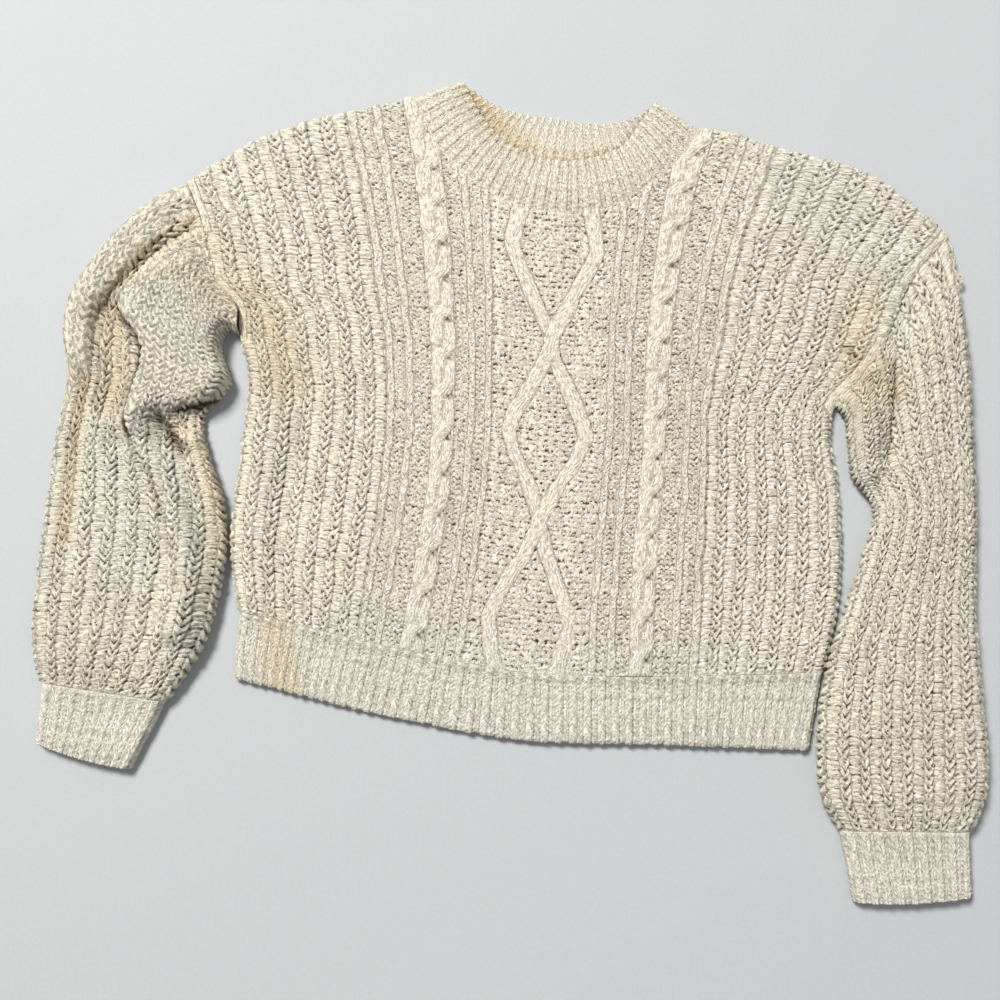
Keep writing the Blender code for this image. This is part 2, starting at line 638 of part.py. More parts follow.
def sleeve_ring(side, station, over, under, lining):
    """One ring of points of a sleeve's outer side, or of its inner side if lining is set."""
    rows = np.array(SLEEVE_SECTIONS[side], float)
    ends = sleeve_place(side, station, np.array([0.0, 1.0]))
    width = np.linalg.norm(ends[1] - ends[0])
    crest = smooth(station, np.arange(len(rows)), rows[:, 4])[0]
    top, bottom = tube_shares(width, over, under, lining)
    above = sleeve_place(side, station, top)
    below = sleeve_place(side, max(station, LINING_START), bottom)
    heights = np.maximum(crest + fold_height(SLEEVE_FOLDS[side], above), SLEEVE_LOWEST)
    if lining:
        lid = tube_lid(EDGE_HEIGHT * crest + (heights - EDGE_HEIGHT * crest) * rounding(top, width, SLEEVE_EDGE))
        return np.column_stack([np.vstack([above, below]), np.concatenate([lid, np.full(under, WALL)])])
    heights += SLEEVE_RISE * np.cos(np.pi * SLEEVE_WALES[side] * top) ** 2
    outer = EDGE_HEIGHT * crest + (heights - EDGE_HEIGHT * crest) * rounding(top, width, SLEEVE_EDGE)
    return np.column_stack([np.vstack([above, below]), np.concatenate([outer, np.zeros(under)])])


def add_sleeve(side):
    over, under = sleeve_over(side), UNDERSIDE_POINTS
    lining_over, lining_under = SLEEVE_LINING
    stations = sleeve_stations(side)
    outer = [sleeve_ring(side, station, over, under, False) for station in stations]
    lined = np.concatenate([[LINING_START], stations[2:-1:2], stations[-1:]])
    inner = [sleeve_ring(side, station, lining_over, lining_under, True) for station in lined]
    return add_tube(
        "sleeve_" + side, outer, inner, tube_turns(over, under), tube_turns(lining_over, lining_under)
    )


def cuff_ring(row, over, under, lining, sag):
    """One ring of a cuff between its two ends in row. sag is the share of the edge's sag that it has."""
    ends = np.array(row, float).reshape(2, 2)
    width = np.linalg.norm(ends[1] - ends[0])
    top, bottom = tube_shares(width, over, under, lining)
    shares = np.concatenate([top, bottom])
    places = ends[0] + (ends[1] - ends[0]) * shares[:, None]
    places[:, 1] -= sag * CUFF_SAG * 4 * shares * (1 - shares)
    edge = EDGE_HEIGHT * CUFF_CREST
    ribs = np.zeros(over + 2) if lining else CUFF_RISE * (np.arange(over + 2) % 2)
    outer = edge + (CUFF_CREST + ribs - edge) * rounding(top, width, CUFF_EDGE)
    heights = (tube_lid(outer), np.full(under, WALL)) if lining else (outer, np.zeros(under))
    return np.column_stack([places, np.concatenate(heights)])


def add_cuff(side):
    over, under = 2 * CUFF_RIBS + 1, UNDERSIDE_POINTS
    rows = np.array(CUFF_SECTIONS[side], float)
    across = rows[0, 2:4] - rows[0, 0:2]
    down = np.array([across[1], -across[0]]) / np.linalg.norm(across)
    down *= np.sign(-down[1]) * SEAM_GAP
    rows[0] += (*down, *down)
    outer = [cuff_ring(row, over, under, False, sag) for row, sag in zip(rows, CUFF_ROWS)]
    inner = [cuff_ring(row, *CUFF_LINING, True, sag) for row, sag in zip(rows, CUFF_ROWS)]
    return add_tube("cuff_" + side, outer, inner, tube_turns(over, under), tube_turns(*CUFF_LINING))


# ------------------------------------------------------------------------------------------- neckband


def band_places(share, lining):
    """Points round the neckband, share of the way up from its seam: front half, right fold, back half, left fold."""
    if lining:
        front_at = np.linspace(BAND_LINING_INSET, 1 - BAND_LINING_INSET, BAND_LINING_FRONT)
        back_at = np.linspace(1 - BAND_LINING_INSET, BAND_LINING_INSET, BAND_LINING_BACK)
        fold_inset = BAND_FOLD_INSET
    else:
        front_at, back_at, fold_inset = band_shares(), back_shares()[::-1], 0.0

    def place(seam, edge, at):
        low, high = along(seam, at), along(edge, at)
        return low + (high - low) * share

    folds = []
    for at in (1 - fold_inset, fold_inset):
        in_front = place(FRONT_NECK, BAND_FRONT_EDGE, [at])
        behind = place(BACK_NECK, BAND_BACK_EDGE, [at])
        folds.append((in_front + behind) / 2)
    front = place(FRONT_NECK, BAND_FRONT_EDGE, front_at)
    back = place(BACK_NECK, BAND_BACK_EDGE, back_at)
    return front, folds[0], back, folds[1]


def band_ring(share, lining):
    """One ring of the neckband's outer side, or of its inner side if lining is set."""
    front, right_fold, back, left_fold = band_places(share, lining)
    crest = smooth(share, *np.array(BAND_HEIGHT).T)[0]
    if lining:
        front_z = np.full(len(front), crest - NECK_WALL)
        back_z, fold_z = np.full(len(back), WALL), (WALL + crest - NECK_WALL) / 2
    else:
        front_z = crest + NECK_RISE * (np.arange(len(front)) % 2 == 0)
        back_z, fold_z = np.zeros(len(back)), EDGE_HEIGHT * crest
    heights = np.concatenate([front_z, [fold_z], back_z, [fold_z]])
    return np.column_stack([np.vstack([front, right_fold, back, left_fold]), heights])


def band_turns(front_count, back_count):
    front = 0.5 * np.arange(front_count + 1) / (front_count + 1)
    back = 0.5 + 0.5 * np.arange(back_count + 1) / (back_count + 1)
    return np.concatenate([front, back])


def add_neckband():
    outer = [band_ring(share, False) for share in BAND_ROWS]
    inner = [band_ring(share, True) for share in BAND_LINING_ROWS]
    outer_turns = band_turns(len(band_shares()), BAND_BACK_POINTS)
    return add_tube("neckband", outer, inner, outer_turns, band_turns(BAND_LINING_FRONT, BAND_LINING_BACK))


def build():
    clear_scene()
    add_back()
    add_hem("hem_rib_back", 0.0, ribbed=False)
    add_front()
    add_hem("hem_rib_front", FRONT_UNDER, ribbed=True)
    for side in ("left", "right"):
        add_sleeve(side)
        add_cuff(side)
    add_neckband()


build()
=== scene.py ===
"""A cropped cable-knit jumper, laid flat and face up, with its stitches, seams and folds.

Lengths in the tables are millimetres, and each mesh is written in metres. X runs to the right, Y towards
the collar and Z up from the surface that the jumper lies on. Left and right are as seen from above with the
collar away. A place on the front or back is given by its wale (mm to the right of the middle, in unstretched
cloth) and its course (mm above the hem rib).
"""

import logging
import math
from collections.abc import Sequence
from dataclasses import dataclass, field, replace
from enum import Enum
from itertools import product

import bpy
import numpy as np
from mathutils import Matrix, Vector
from mathutils.geometry import delaunay_2d_cdt


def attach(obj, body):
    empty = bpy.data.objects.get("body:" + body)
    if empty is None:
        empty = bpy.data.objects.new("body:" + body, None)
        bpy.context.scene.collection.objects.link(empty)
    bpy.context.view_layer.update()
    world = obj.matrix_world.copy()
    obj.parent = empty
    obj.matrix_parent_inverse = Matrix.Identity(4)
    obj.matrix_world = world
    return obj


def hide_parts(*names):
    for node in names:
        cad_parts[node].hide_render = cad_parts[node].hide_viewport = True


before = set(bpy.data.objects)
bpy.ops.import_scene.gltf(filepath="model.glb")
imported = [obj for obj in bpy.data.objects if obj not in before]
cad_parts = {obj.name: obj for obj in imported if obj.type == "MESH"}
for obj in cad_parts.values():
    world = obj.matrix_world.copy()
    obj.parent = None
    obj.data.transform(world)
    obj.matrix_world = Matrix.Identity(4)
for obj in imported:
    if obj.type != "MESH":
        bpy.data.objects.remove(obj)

log = logging.getLogger("jumper")

Array = np.ndarray
Table = Sequence[Sequence[float]]
Thing = bpy.types.Object
Material = bpy.types.Material

MM = 0.001
BODY = "root"
BOX_CENTRE = (-1.1, 15.8)  # middle of the garment's box in the tables' X and Y
SEAM_GAP = 0.05  # between two pieces along a seam
ROW = 4.125  # from one row of stitches to the next in the panels
STEP = 1.03  # from one point of a knitted side to the next
FAR = 99.0  # too far away to matter
SEAM_LEVEL = 0.9  # height at which the stitches meet along a seam
SETTLED = 2.5  # how far from its seam a band's stitches stand at their full height
PLAIN_SHADE = 0.3  # painted shade on the sides that face the floor or another layer
BAND_FUZZ = 0.45  # how uneven the tighter yarn of the bands is, against that of the panels


class Slot(Enum):
    """The kinds of knitting, each with a name."""

    CABLE = "cable_knit"
    PLAIN = "plain_knit"
    FISHERMAN = "fisherman_knit"
    RIB = "rib_knit"


class Side(Enum):
    """The two sides of the jumper, as seen from above."""

    LEFT = "left"
    RIGHT = "right"

    @property
    def sign(self) -> int:
        """Which way the side lies along X."""
        return -1 if self is Side.LEFT else 1


# ---- curves


def smooth(places: Array | float, knots: Array, values: Array) -> Array:
    """Reads a smooth curve.

    Args:
        places: where to read it.
        knots: places of the known values, rising.
        values: a value for each knot, or a row of values for each knot.

    Returns:
        The curve's value at each place.
    """
    places = np.atleast_1d(np.asarray(places, float))
    knots = np.asarray(knots, float)
    values = np.asarray(values, float)
    if values.ndim == 1:
        values = np.repeat(values[:, None], places.size, axis=1)
    slopes = np.gradient(values, knots, axis=0)
    low = np.clip(np.searchsorted(knots, places, side="right") - 1, 0, len(knots) - 2)
    each = np.arange(places.size)
    span = knots[low + 1] - knots[low]
    s = (places - knots[low]) / span
    start, end = values[low, each], values[low + 1, each]
    leave, arrive = slopes[low, each] * span, slopes[low + 1, each] * span
    return (
        (2 * s**3 - 3 * s**2 + 1) * start
        + (s**3 - 2 * s**2 + s) * leave
        + (3 * s**2 - 2 * s**3) * end
        + (s**3 - s**2) * arrive
    )


def lengths(points: Array) -> Array:
    """How far along a path of straight runs each of its points lies."""
    return np.concatenate([[0], np.cumsum(np.linalg.norm(np.diff(points, axis=0), axis=1))])


def along(points: Table, shares: Array) -> Array:
    """Points at these shares of the way along a smooth curve.

    Args:
        points: the curve's x, y points.
        shares: shares of its length.

    Returns:
        An array of x, y.
    """
    points = np.asarray(points, float)
    reach = lengths(points)
    places = np.asarray(shares) * reach[-1]
    return np.stack([smooth(places, reach, points[:, k]) for k in (0, 1)], axis=1)


def distance_to(path: Table, places: Array) -> Array:
    """Distance of each place from a path of straight runs.

    Args:
        path: the path's x, y points.
        places: an array of x, y.

    Returns:
        The distances.
    """
    path = np.asarray(path, float)
    nearest = np.full(len(places), np.inf)
    for start, end in zip(path[:-1], path[1:]):
        run = end - start
        off = places - start
        share = unit(off @ run / (run @ run))
        nearest = np.minimum(nearest, np.hypot(off[:, 0] - share * run[0], off[:, 1] - share * run[1]))
    return nearest


def inside(loop: Array, places: Array) -> Array:
    """Whether each place lies inside a closed loop.

    Args:
        loop: the loop's x, y points.
        places: an array of x, y.

    Returns:
        True for each place inside.
    """
    odd = np.zeros(len(places), bool)
    x, y = places[:, 0], places[:, 1]
    for (x0, y0), (x1, y1) in zip(loop, np.roll(loop, -1, axis=0)):
        if y0 != y1:
            odd ^= ((y0 > y) != (y1 > y)) & (x < (x1 - x0) * (y - y0) / (y1 - y0) + x0)
    return odd


def unit(value: Array | float) -> Array:
    """The value, held between 0 and 1."""
    return np.clip(value, 0, 1)


def bell(*offs: Array) -> Array:
    """A bell: 1 where all offs are 0, and about a third where one of them is 1."""
    return np.exp(-sum(off**2 for off in offs))


def rounded(near: Array) -> Array:
    """A quarter of a circle, which rises steeply from 0 at 0 and comes out level as 1 at 1."""
    return np.sqrt(1 - (1 - near) ** 2)


def split(value: Array) -> tuple[Array, Array]:
    """The whole number below a value, and how far the value is from the middle of its cell, in cells."""
    number = np.floor(value)
    return number, value - number - 0.5


def ease(value: Array, low: float, high: float) -> Array:
    """A soft step from 0 at low to 1 at high."""
    t = unit((value - low) / (high - low))
    return t * t * (3 - 2 * t)


def fade(off: Array, low: float, high: float) -> Array:
    """1 within low of a line and 0 from high away, with a soft step between."""
    return 1 - ease(np.abs(off), low, high)


def ridge(off: Array, half_width: float) -> Array:
    """A rounded ridge: 1 on its line and 0 from half_width away."""
    return np.cos(unit(np.abs(off) / half_width) * np.pi / 2) ** 2


def yarn(off: Array, half_width: float) -> Array:
    """The round back of a strand of yarn: 1 over its middle and 0 from half_width away."""
    return np.sqrt(unit(1 - (off / half_width) ** 2))


def fold_height(folds: Sequence[tuple], places: Array) -> Array:
    """How much folds lift each place. Where they meet, the highest and the deepest count.

    Args:
        folds: (half width, rise, crispness, path of x, y) of each.
        places: an array of x, y.

    Returns:
        The lift of each place.
    """
    highest, deepest = np.zeros(len(places)), np.zeros(len(places))
    for half_width, rise, crispness, path in folds:
        lift = rise * np.exp(-((distance_to(path, places) / half_width) ** crispness))
        highest, deepest = np.maximum(highest, lift), np.minimum(deepest, lift)
    return highest + deepest


def waviness(places: Array, length: float, seed: int) -> Array:
    """Soft unevenness of hand-worn cloth, between about -1 and 1.

    Args:
        places: an array of two coordinates.
        length: the usual length of a wave.
        seed: which waves to draw.

    Returns:
        A value for each place.
    """
    draw = np.random.default_rng(seed)
    total = np.zeros(len(places))
    waves = 7
    for _ in range(waves):
        turn, phase = draw.uniform(0, 2 * np.pi, 2)
        pitch = length * draw.uniform(0.7, 1.6)
        ahead = places[:, 0] * np.cos(turn) + places[:, 1] * np.sin(turn)
        total += np.sin(ahead * 2 * np.pi / pitch + phase)
    return total / math.sqrt(waves)


def chance(column: Array, row: Array | int, seed: float) -> Array:
    """A fixed random number from 0 to 1 for each stitch, from its column and row."""
    mixed = np.sin(column * 12.9898 + row * 78.233 + seed * 37.719) * 43758.5453
    return mixed - np.floor(mixed)


def grain(places: Array, size: float, seed: float) -> Array:
    """Small random unevenness, such as yarn has, between -1 and 1.

    Args:
        places: an array of two coordinates.
        size: from one random value to the next.
        seed: which random draw to use.

    Returns:
        A value for each place.
    """
    at = places / size
    cell = np.floor(at)
    t = ease(at - cell, 0, 1)
    corners = [[chance(cell[:, 0] + right, cell[:, 1] + up, seed) for right in (0, 1)] for up in (0, 1)]
    low, high = (pair[0] + (pair[1] - pair[0]) * t[:, 0] for pair in corners)
    return 2 * (low + (high - low) * t[:, 1]) - 1


@dataclass(frozen=True)
class Wander:
    """How far stitches stray from their straight lines, in slow waves and from one stitch to the next."""

    sway: float
    length: float  # of a wave
    jitter: float
    size: float  # from one random value to the next

    def moved(self, value: Array, places: Array, wave: int, draw: int) -> Array:
        """The value with its straying at these places, from these two random draws."""
        value = value + self.sway * waviness(places, self.length, wave)
        return value + self.jitter * grain(places, self.size, draw)


# ---- stitches


@dataclass
class Relief:
    """The stitches' height above the plain cloth, their painted shade, and how the yarn runs at each point.
    """

    height: Array
    pit: Array  # painted shade between the stitches: how deep in it, from 0 to 1
    across: Array  # mm across the yarn
    along: Array  # mm along it

    def blend(self, other: "Relief", share: Array) -> "Relief":
        """Goes over to another relief by share, from 0 to 1."""
        chosen = share > 0.5
        return Relief(
            self.height + (other.height - self.height) * share,
            self.pit + (other.pit - self.pit) * share,
            np.where(chosen, other.across, self.across),
            np.where(chosen, other.along, self.along),
        )

    def settled(self, share: Array) -> "Relief":
        """Evens the stitches out towards a seam, where share falls to 0."""
        height = SEAM_LEVEL + (self.height - SEAM_LEVEL) * share
        return replace(self, height=height, pit=self.pit * share)

    def masked(self, kept: Array, pit: float) -> "Relief":
        """Leaves the stitches where kept is true, and plain cloth of this shade elsewhere."""
        return replace(self, height=np.where(kept, self.height, 0), pit=np.where(kept, self.pit, pit))


@dataclass(frozen=True)
class FisherRib:
    """Half-fisherman rib: steep chevrons of yarn up each knit wale, and a ladder of bars between wales."""

    pitch: float = 16.4  # from one knit wale to the next
    cell: float = 7.0  # from one chevron to the next
    rise: float = 2.8
    lean: float = 1.6  # how far a chevron's leg climbs for each mm outwards
    reach: float = 4.1  # how far out from the wale's middle a leg ends
    bar_rise: float = 2.1
    bar_half: float = 5.0  # half the width of a bar
    leg_half: float = 0.46  # half the thickness of a leg, in chevrons
    late: float = 3.0  # how much later than others a wale's first chevron can start
    bar_late: float = 5.0  # the same for a ladder's first bar
    ditch: float = 1.5  # how deep the holes are

    def chevrons(self, off: Array, column: Array, course: Array, seed: float) -> tuple[Array, Array, Array]:
        """The knit wales: their height, the painted shade of their notches and how far up the yarn each point
        lies.
        """
        aside = np.abs(off)
        side = column * 2 + (off > 0)
        climb = (course + self.late * chance(column, 0, seed) - self.lean * aside) / self.cell
        row, turn = split(climb)
        leg = yarn(turn, self.leg_half) ** 0.85 * (0.78 + 0.44 * chance(side, row, seed))
        leg *= fade(aside, self.reach - 0.8, self.reach + 0.6) * (0.62 + 0.38 * ease(aside, 0.0, 1.2))
        # A small notch, painted dark with shade, where two chevrons' legs meet in the middle of the wale.
        between = (0.5 - np.abs(turn)) * self.cell
        notch = bell(off, between) * (0.3 + 1.2 * chance(column, np.round(climb), seed + 2))
        return leg, notch, climb

    def bars(self, across: Array, gap: Array, course: Array, seed: float) -> tuple[Array, Array, Array]:
        """The ladders, in which a thick and a thin strand take turns. It returns the same as chevrons."""
        level = (course + self.bar_late * chance(gap, 0, seed + 3)) / self.cell
        place = across / self.bar_half
        outward = (np.abs(across) - 0.82 * self.bar_half) / 1.1
        low, high = np.full(level.shape, -1e9), np.full(level.shape, 1e9)
        darkness = np.zeros(level.shape)
        for step in (-1, 0, 1, 2):
            number = np.floor(level) + step
            # The line between two bars bows and tilts. Shade is painted along its length and at both ends.
            bow = 0.42 * chance(gap, number, seed + 5) - 0.16
            tilt = 0.26 * chance(gap, number, seed + 6) - 0.10
            bound = number - bow * place**2 + tilt * place
            low = np.where(bound <= level, np.maximum(low, bound), low)
            high = np.where(bound > level, np.minimum(high, bound), high)
            near = (level - bound) * self.cell
            strength = 0.25 + 0.95 * chance(gap, number, seed + 7)
            darkness = np.maximum(darkness, strength * bell(near / 0.72) * (0.35 + 0.5 * place**2))
            corner = chance(gap * 2 + (across > 0), number, seed + 9) * 1.6
            darkness = np.maximum(darkness, corner * bell(near / 1.05, outward))
        share = (level - low) / (high - low)
        parting = 0.42 + 0.13 * place
        first = np.round(low)
        thin = yarn(share / parting - 0.5, 0.5) * (0.55 + 0.4 * chance(gap, first, seed + 8))
        thick = yarn((share - parting) / (1 - parting) - 0.5, 0.5)
        thick *= 0.84 + 0.3 * chance(gap, first, seed + 10)
        bar = np.where(share < parting, thin, thick) * yarn(across, self.bar_half)
        return bar, darkness * fade(across, 0.92 * self.bar_half, 1.12 * self.bar_half), level

    def relief(self, wale: Array, course: Array, seed: float) -> Relief:
        """The rib's relief.

        Args:
            wale: mm across, with a knit wale at each multiple of the pitch.
            course: mm along.
            seed: which random draw to use.

        Returns:
            The relief.
        """
        column = np.round(wale / self.pitch)
        gap = np.floor(wale / self.pitch)
        off = wale - column * self.pitch
        across = wale - (gap + 0.5) * self.pitch
        leg, notch, climb = self.chevrons(off, column, course, seed)
        bar, darkness, level = self.bars(across, gap, course, seed)
        height = np.maximum(self.rise * leg, self.bar_rise * bar)
        on_leg = self.rise * leg > self.bar_rise * bar
        hole = np.maximum(notch, np.where(on_leg, 0.25, 1.0) * darkness)
        # Shade is painted where the yarn is low, and in the holes and notches.
        pit = 0.7 * unit(1.0 - height / 1.2) ** 1.5 + hole
        return Relief(
            height - self.ditch * unit(hole),
            unit(pit),
            np.where(on_leg, climb * self.cell * 0.5, level * self.cell),
            np.where(on_leg, 1.8 * off, wale),
        )


@dataclass(frozen=True)
class Loops:
    """Short fat loops of yarn over each other, with holes between them. The default is moss stitch."""

    width: float = 3.7
    row: float = ROW
    rise: float = 1.2
    half: float = 1.4  # half the width of the yarn
    reach: float = 1.35  # half the length of a loop's straight run
    chequer: bool = True  # whether every second stitch shows as two legs
    stagger: float = 0.0  # how far every second column is shifted, in rows
    bow: float = 0.16  # how far a loop bows, for each mm along it, squared
    loose: float = 1.1  # mm that a loop can lie away from its place
    tilt: float = 1.1  # how far round it can lie
    shade: float = 0.52  # how much shade is painted between the loops
    astray: tuple[float, float] = (0.55, 0.7)  # mm that the stitches stray across and along
    apart: tuple[float, float] = (7.4, 2 * ROW)  # from one hole to the next
    hole: tuple[float, float] = (0.135, 0.135)  # half a hole's width and height, as shares of that
    # How open the holes are: how much that differs, what is taken off it, the most, and its random draw.
    opening: tuple[float, float, float, int] = (2.1, 0.5, 1.4, 4)

    def relief(self, wale: Array, course: Array, seed: float) -> Relief:
        """The loops' relief. See FisherRib.relief for the arguments."""
        places = np.stack([wale, course], axis=1)
        wale = wale + self.astray[0] * grain(places, 2.7, seed + 20)
        course = course + self.astray[1] * grain(places, 2.9, seed + 21)
        across, up = wale / self.width, course / self.row
        column, row = np.floor(across), np.floor(up)
        top, next_top, lie, run = np.zeros((4, len(across)))
        for right, above, leg in product((-1, 0, 1), (-1, 0, 1), (-1, 1)):
            c, r = column + right, row + above
            draw = [chance(c, r, seed + k) for k in range(5)]
            upright = (np.mod(c + r, 2) == 1) & self.chequer
            x = (across - c - 0.5) * self.width + self.loose * (draw[1] - 0.5)
            x -= 0.27 * self.width * leg * upright
            y = (up - r - 0.5 - self.stagger * np.mod(c, 2)) * self.row + self.loose * (draw[2] - 0.5)
            turn = upright * (np.pi / 2 - 0.45 * leg) + self.tilt * (draw[3] - 0.5)
            forth = x * np.cos(turn) + y * np.sin(turn)
            bow = self.bow * ~upright * (1 - 2 * np.mod(c, 2) if self.stagger else 1)
            aside = y * np.cos(turn) - x * np.sin(turn) + bow * forth**2
            off = np.hypot(np.clip(np.abs(forth) - self.reach, 0, None), aside)
            level = yarn(off, self.half) * (0.8 + 0.35 * draw[4]) * (upright | (leg < 0))
            lie, run = np.where(level > top, aside, lie), np.where(level > top, forth, run)
            next_top = np.maximum(next_top, np.minimum(top, level))
            top = np.maximum(top, level)
        # Shade is painted where the yarn sinks between loops and where two loops meet, and in the holes
        # below.
        meet = bell((top - next_top) / 0.11) * (0.25 + 0.9 * chance(column, row, seed + 8))
        pit = self.shade * (1.25 * unit(1.0 - top / 0.62) ** 1.2 + 0.75 * meet)
        across, up = wale / self.apart[0], course / self.apart[1]
        column, row = np.round(across), np.round(up)
        spread, less, most, which = self.opening
        hole = bell((across - column) / self.hole[0], (up - row) / self.hole[1])
        hole *= np.clip(spread * chance(column, row, seed + which) - less, 0, most)
        height = self.rise * (top - 0.3 * meet) - 1.1 * np.clip(hole, 0, 1.2)
        return Relief(height, unit(np.maximum(unit(pit), hole)), lie + 7.0 * draw[0], run + wale)


@dataclass(frozen=True)
class KnitWale:
    """One column of knit stitches, which is a chain of small chevrons."""

    width: float = 5.6
    row: float = ROW
    rise: float = 2.0
    lean: float = 1.7  # as in FisherRib
    depth: float = 0.72  # how deep the creases between the chevrons are, as a share of the rise
    crease: float = 0.5  # the same for the crease between a chevron's two legs

    def relief(self, off: Array, course: Array, seed: Array | float) -> Relief:
        """The wale's relief.

        Args:
            off: mm from the wale's middle.
            course: mm along.
            seed: which random draw to use.

        Returns:
            The relief, which falls to 0 beside the wale.
        """
        aside = np.abs(off)
        climb = (course - self.lean * aside) / self.row
        row, turn = split(climb)
        swell = 0.85 + 0.3 * chance(row, off > 0, seed)
        leg = 1 - self.depth + self.depth * yarn(turn, 0.5) * swell
        half = self.width / 2
        body = yarn(np.clip(aside - 0.35 * half, 0, None), 0.7 * half)
        body *= 1 - self.crease * bell(aside / (0.26 * half))
        height = self.rise * body * leg
        # Shade is painted in a dot where two chevrons meet beside the middle, and where the yarn is low.
        between = (0.5 - np.abs(turn)) * self.row
        dot = bell(between / 0.7, (aside - 0.8) / 0.9) * 0.75 * chance(np.round(climb), off > 0, seed + 2)
        pit = 0.75 * unit(0.9 - height / (0.8 * self.rise)) ** 1.2 + dot
        return Relief(height, unit(pit), climb * self.row * 0.6, 1.8 * off)


@dataclass(frozen=True)
class Rope:
    """A rope of two knit strands that always cross the same way. The one that climbs right is on top."""

    wale: float = 87.0
    half_width: float = 9.7
    pitch: float = 33.0  # from one crossing to the next
    rise: float = 3.0
    sway: float = 4.0  # how far each strand swings from the rope's middle
    strand: float = 6.4  # half the width of one strand
    line: float = 1.7  # from one thread of the yarn to the next, across a strand

    def relief(self, off: Array, course: Array, seed: float) -> Relief:
        """The rope's relief. See KnitWale.relief for the arguments."""
        number, turn = split(course / self.pitch)
        swing = self.sway * np.sin(np.pi * np.clip(turn * 1.6, -0.5, 0.5))
        middle = bell(turn / 0.2)
        over = 0.84 + 0.16 * middle
        under = 0.84 - 0.58 * middle
        plies = []
        for centre, level in ((swing, over), (-swing, under)):
            across = off - centre
            hair = 1 - 0.36 * ridge(np.mod(across, self.line) - self.line / 2, 0.75)
            thread = 0.88 + 0.12 * yarn(split((course + 1.2 * across) / ROW)[1], 0.5)
            plies.append(level * yarn(across, self.strand) ** 0.7 * thread * hair)
        body = yarn(off, self.half_width) ** 0.6
        height = self.rise * (0.24 * body + 0.76 * np.maximum(*plies))
        # Shade is painted on the lower strand where it comes out from under the other, in a notch under each
        # crossing, and towards the rope's edge.
        crease = bell(np.abs(plies[0] - plies[1]) / 0.08) * (np.abs(off) < self.half_width - 2)
        crease *= bell((turn + 0.04) / 0.2) * np.where(off > swing, 1.3, 0.4)
        depth = 0.7 + 0.6 * chance(number, 0, seed)
        notch = bell((off - 4.4) / 3.2, (turn + 0.13 + 0.012 * (off - 4.4)) / 0.065) * depth
        pit = 0.14 + 0.3 * crease + 0.42 * notch + 0.3 * unit(1 - height / 1.7) * body
        lie = np.where(plies[0] >= plies[1], off - swing, off + swing)
        return Relief(height - 0.7 * crease - 0.9 * notch, unit(pit), lie, course)


@dataclass(frozen=True)
class Diamonds:
    """Two knit strands that swing apart and together across the moss stitch, and cross where they meet."""

    # Where the left strand lies: (course, mm to the right of the middle). The right one mirrors it.
    path: Table = ((-12, -20), (38, -32), (122, 0), (195, 32), (272, 0), (354, -32), (400, -24))
    half_width: float = 6.4
    rise: float = 1.6
    line: float = 1.9  # as in Rope
    curve: float = 0.45  # how rounded the corners of its zigzag are, from 0 to 1

    def offset(self, course: Array) -> tuple[Array, Array]:
        """Where the left strand lies, and how much it moves right for each mm up."""
        rows = np.array(self.path, float)
        low = np.clip(np.searchsorted(rows[:, 0], course, side="right") - 1, 0, len(rows) - 2)
        span = rows[low + 1, 0] - rows[low, 0]
        t = unit((course - rows[low, 0]) / span)
        sweep = rows[low + 1, 1] - rows[low, 1]
        bent = self.curve * ease(t, 0, 1) + (1 - self.curve) * t
        return rows[low, 1] + sweep * bent, sweep * (self.curve * 6 * t * (1 - t) + 1 - self.curve) / span

    def relief(self, wale: Array, course: Array) -> tuple[Relief, Array]:
        """The strands' relief, and how far each point is covered by one, for these wales and courses."""
        left, slope = self.offset(course)
        meeting = bell(left / 8.0)
        parts, covers, lies = [], [], []
        for centre, lean in ((left, slope), (-left, -slope)):
            across = (wale - centre) / np.sqrt(1 + lean**2)
            level = np.where(lean > 0, 1.0 + 0.08 * meeting, 1.0 - 0.55 * meeting)
            hair = 1 - 0.34 * ridge(np.mod(across, self.line) - self.line / 2, 0.8)
            thread = 0.82 + 0.18 * yarn(split((course - 0.8 * np.abs(across)) / ROW)[1], 0.5)
            parts.append(level * yarn(across, self.half_width) ** 0.6 * thread * hair)
            covers.append(fade(across, self.half_width - 1.2, self.half_width + 0.5))
            lies.append(across)
        height = self.rise * np.maximum(*parts)
        cover = np.maximum(*covers)
        # Shade is painted along each strand's edge and where the strands are low.
        beside = cover * (1 - cover) * 4
        pit = 0.15 + 0.5 * unit(0.75 - height / (0.8 * self.rise)) + 0.22 * beside
        lie = np.where(parts[0] > parts[1], lies[0], lies[1])
        return Relief(height - 0.5 * beside, unit(pit), lie, course), cover


@dataclass(frozen=True)
class SeamBand:
    """The rounded band along an armhole, where a few strands of yarn run along the seam."""

    width: float = 6.5
    rise: float = 1.3
    cord: float = 2.8  # from one strand to the next
    slant: float = 0.0  # how far the strands drift off the seam for each mm along it

    def relief(self, distance: Array, course: Array) -> tuple[Relief, Array]:
        """The band's relief.

        Args:
            distance: mm from the seam.
            course: mm along it.

        Returns:
            The relief, and how far each point belongs to the band, from 0 to 1.
        """
        near = split((distance + self.slant * course) / self.cord + 0.25 * np.sin(course / 5.0))[1]
        twist = split((course + 2.0 * distance) / 6.0)[1]
        cords = 0.35 + 0.43 * yarn(near, 0.5) + 0.22 * yarn(twist, 0.5)
        height = self.rise * yarn(distance - 0.45 * self.width, 0.7 * self.width) * cords
        share = fade(distance, self.width * 0.8, self.width * 1.15)
        # Shade is painted in the groove beside the band, between its cords and where it is low.
        groove = bell((distance - self.width) / 1.3)
        pit = 0.4 * unit(0.6 - height / self.rise) + 0.3 * groove
        pit += 0.22 * bell((near**2 - 0.25) / 0.08)
        return Relief(height - 0.7 * groove, unit(pit), distance, course), share


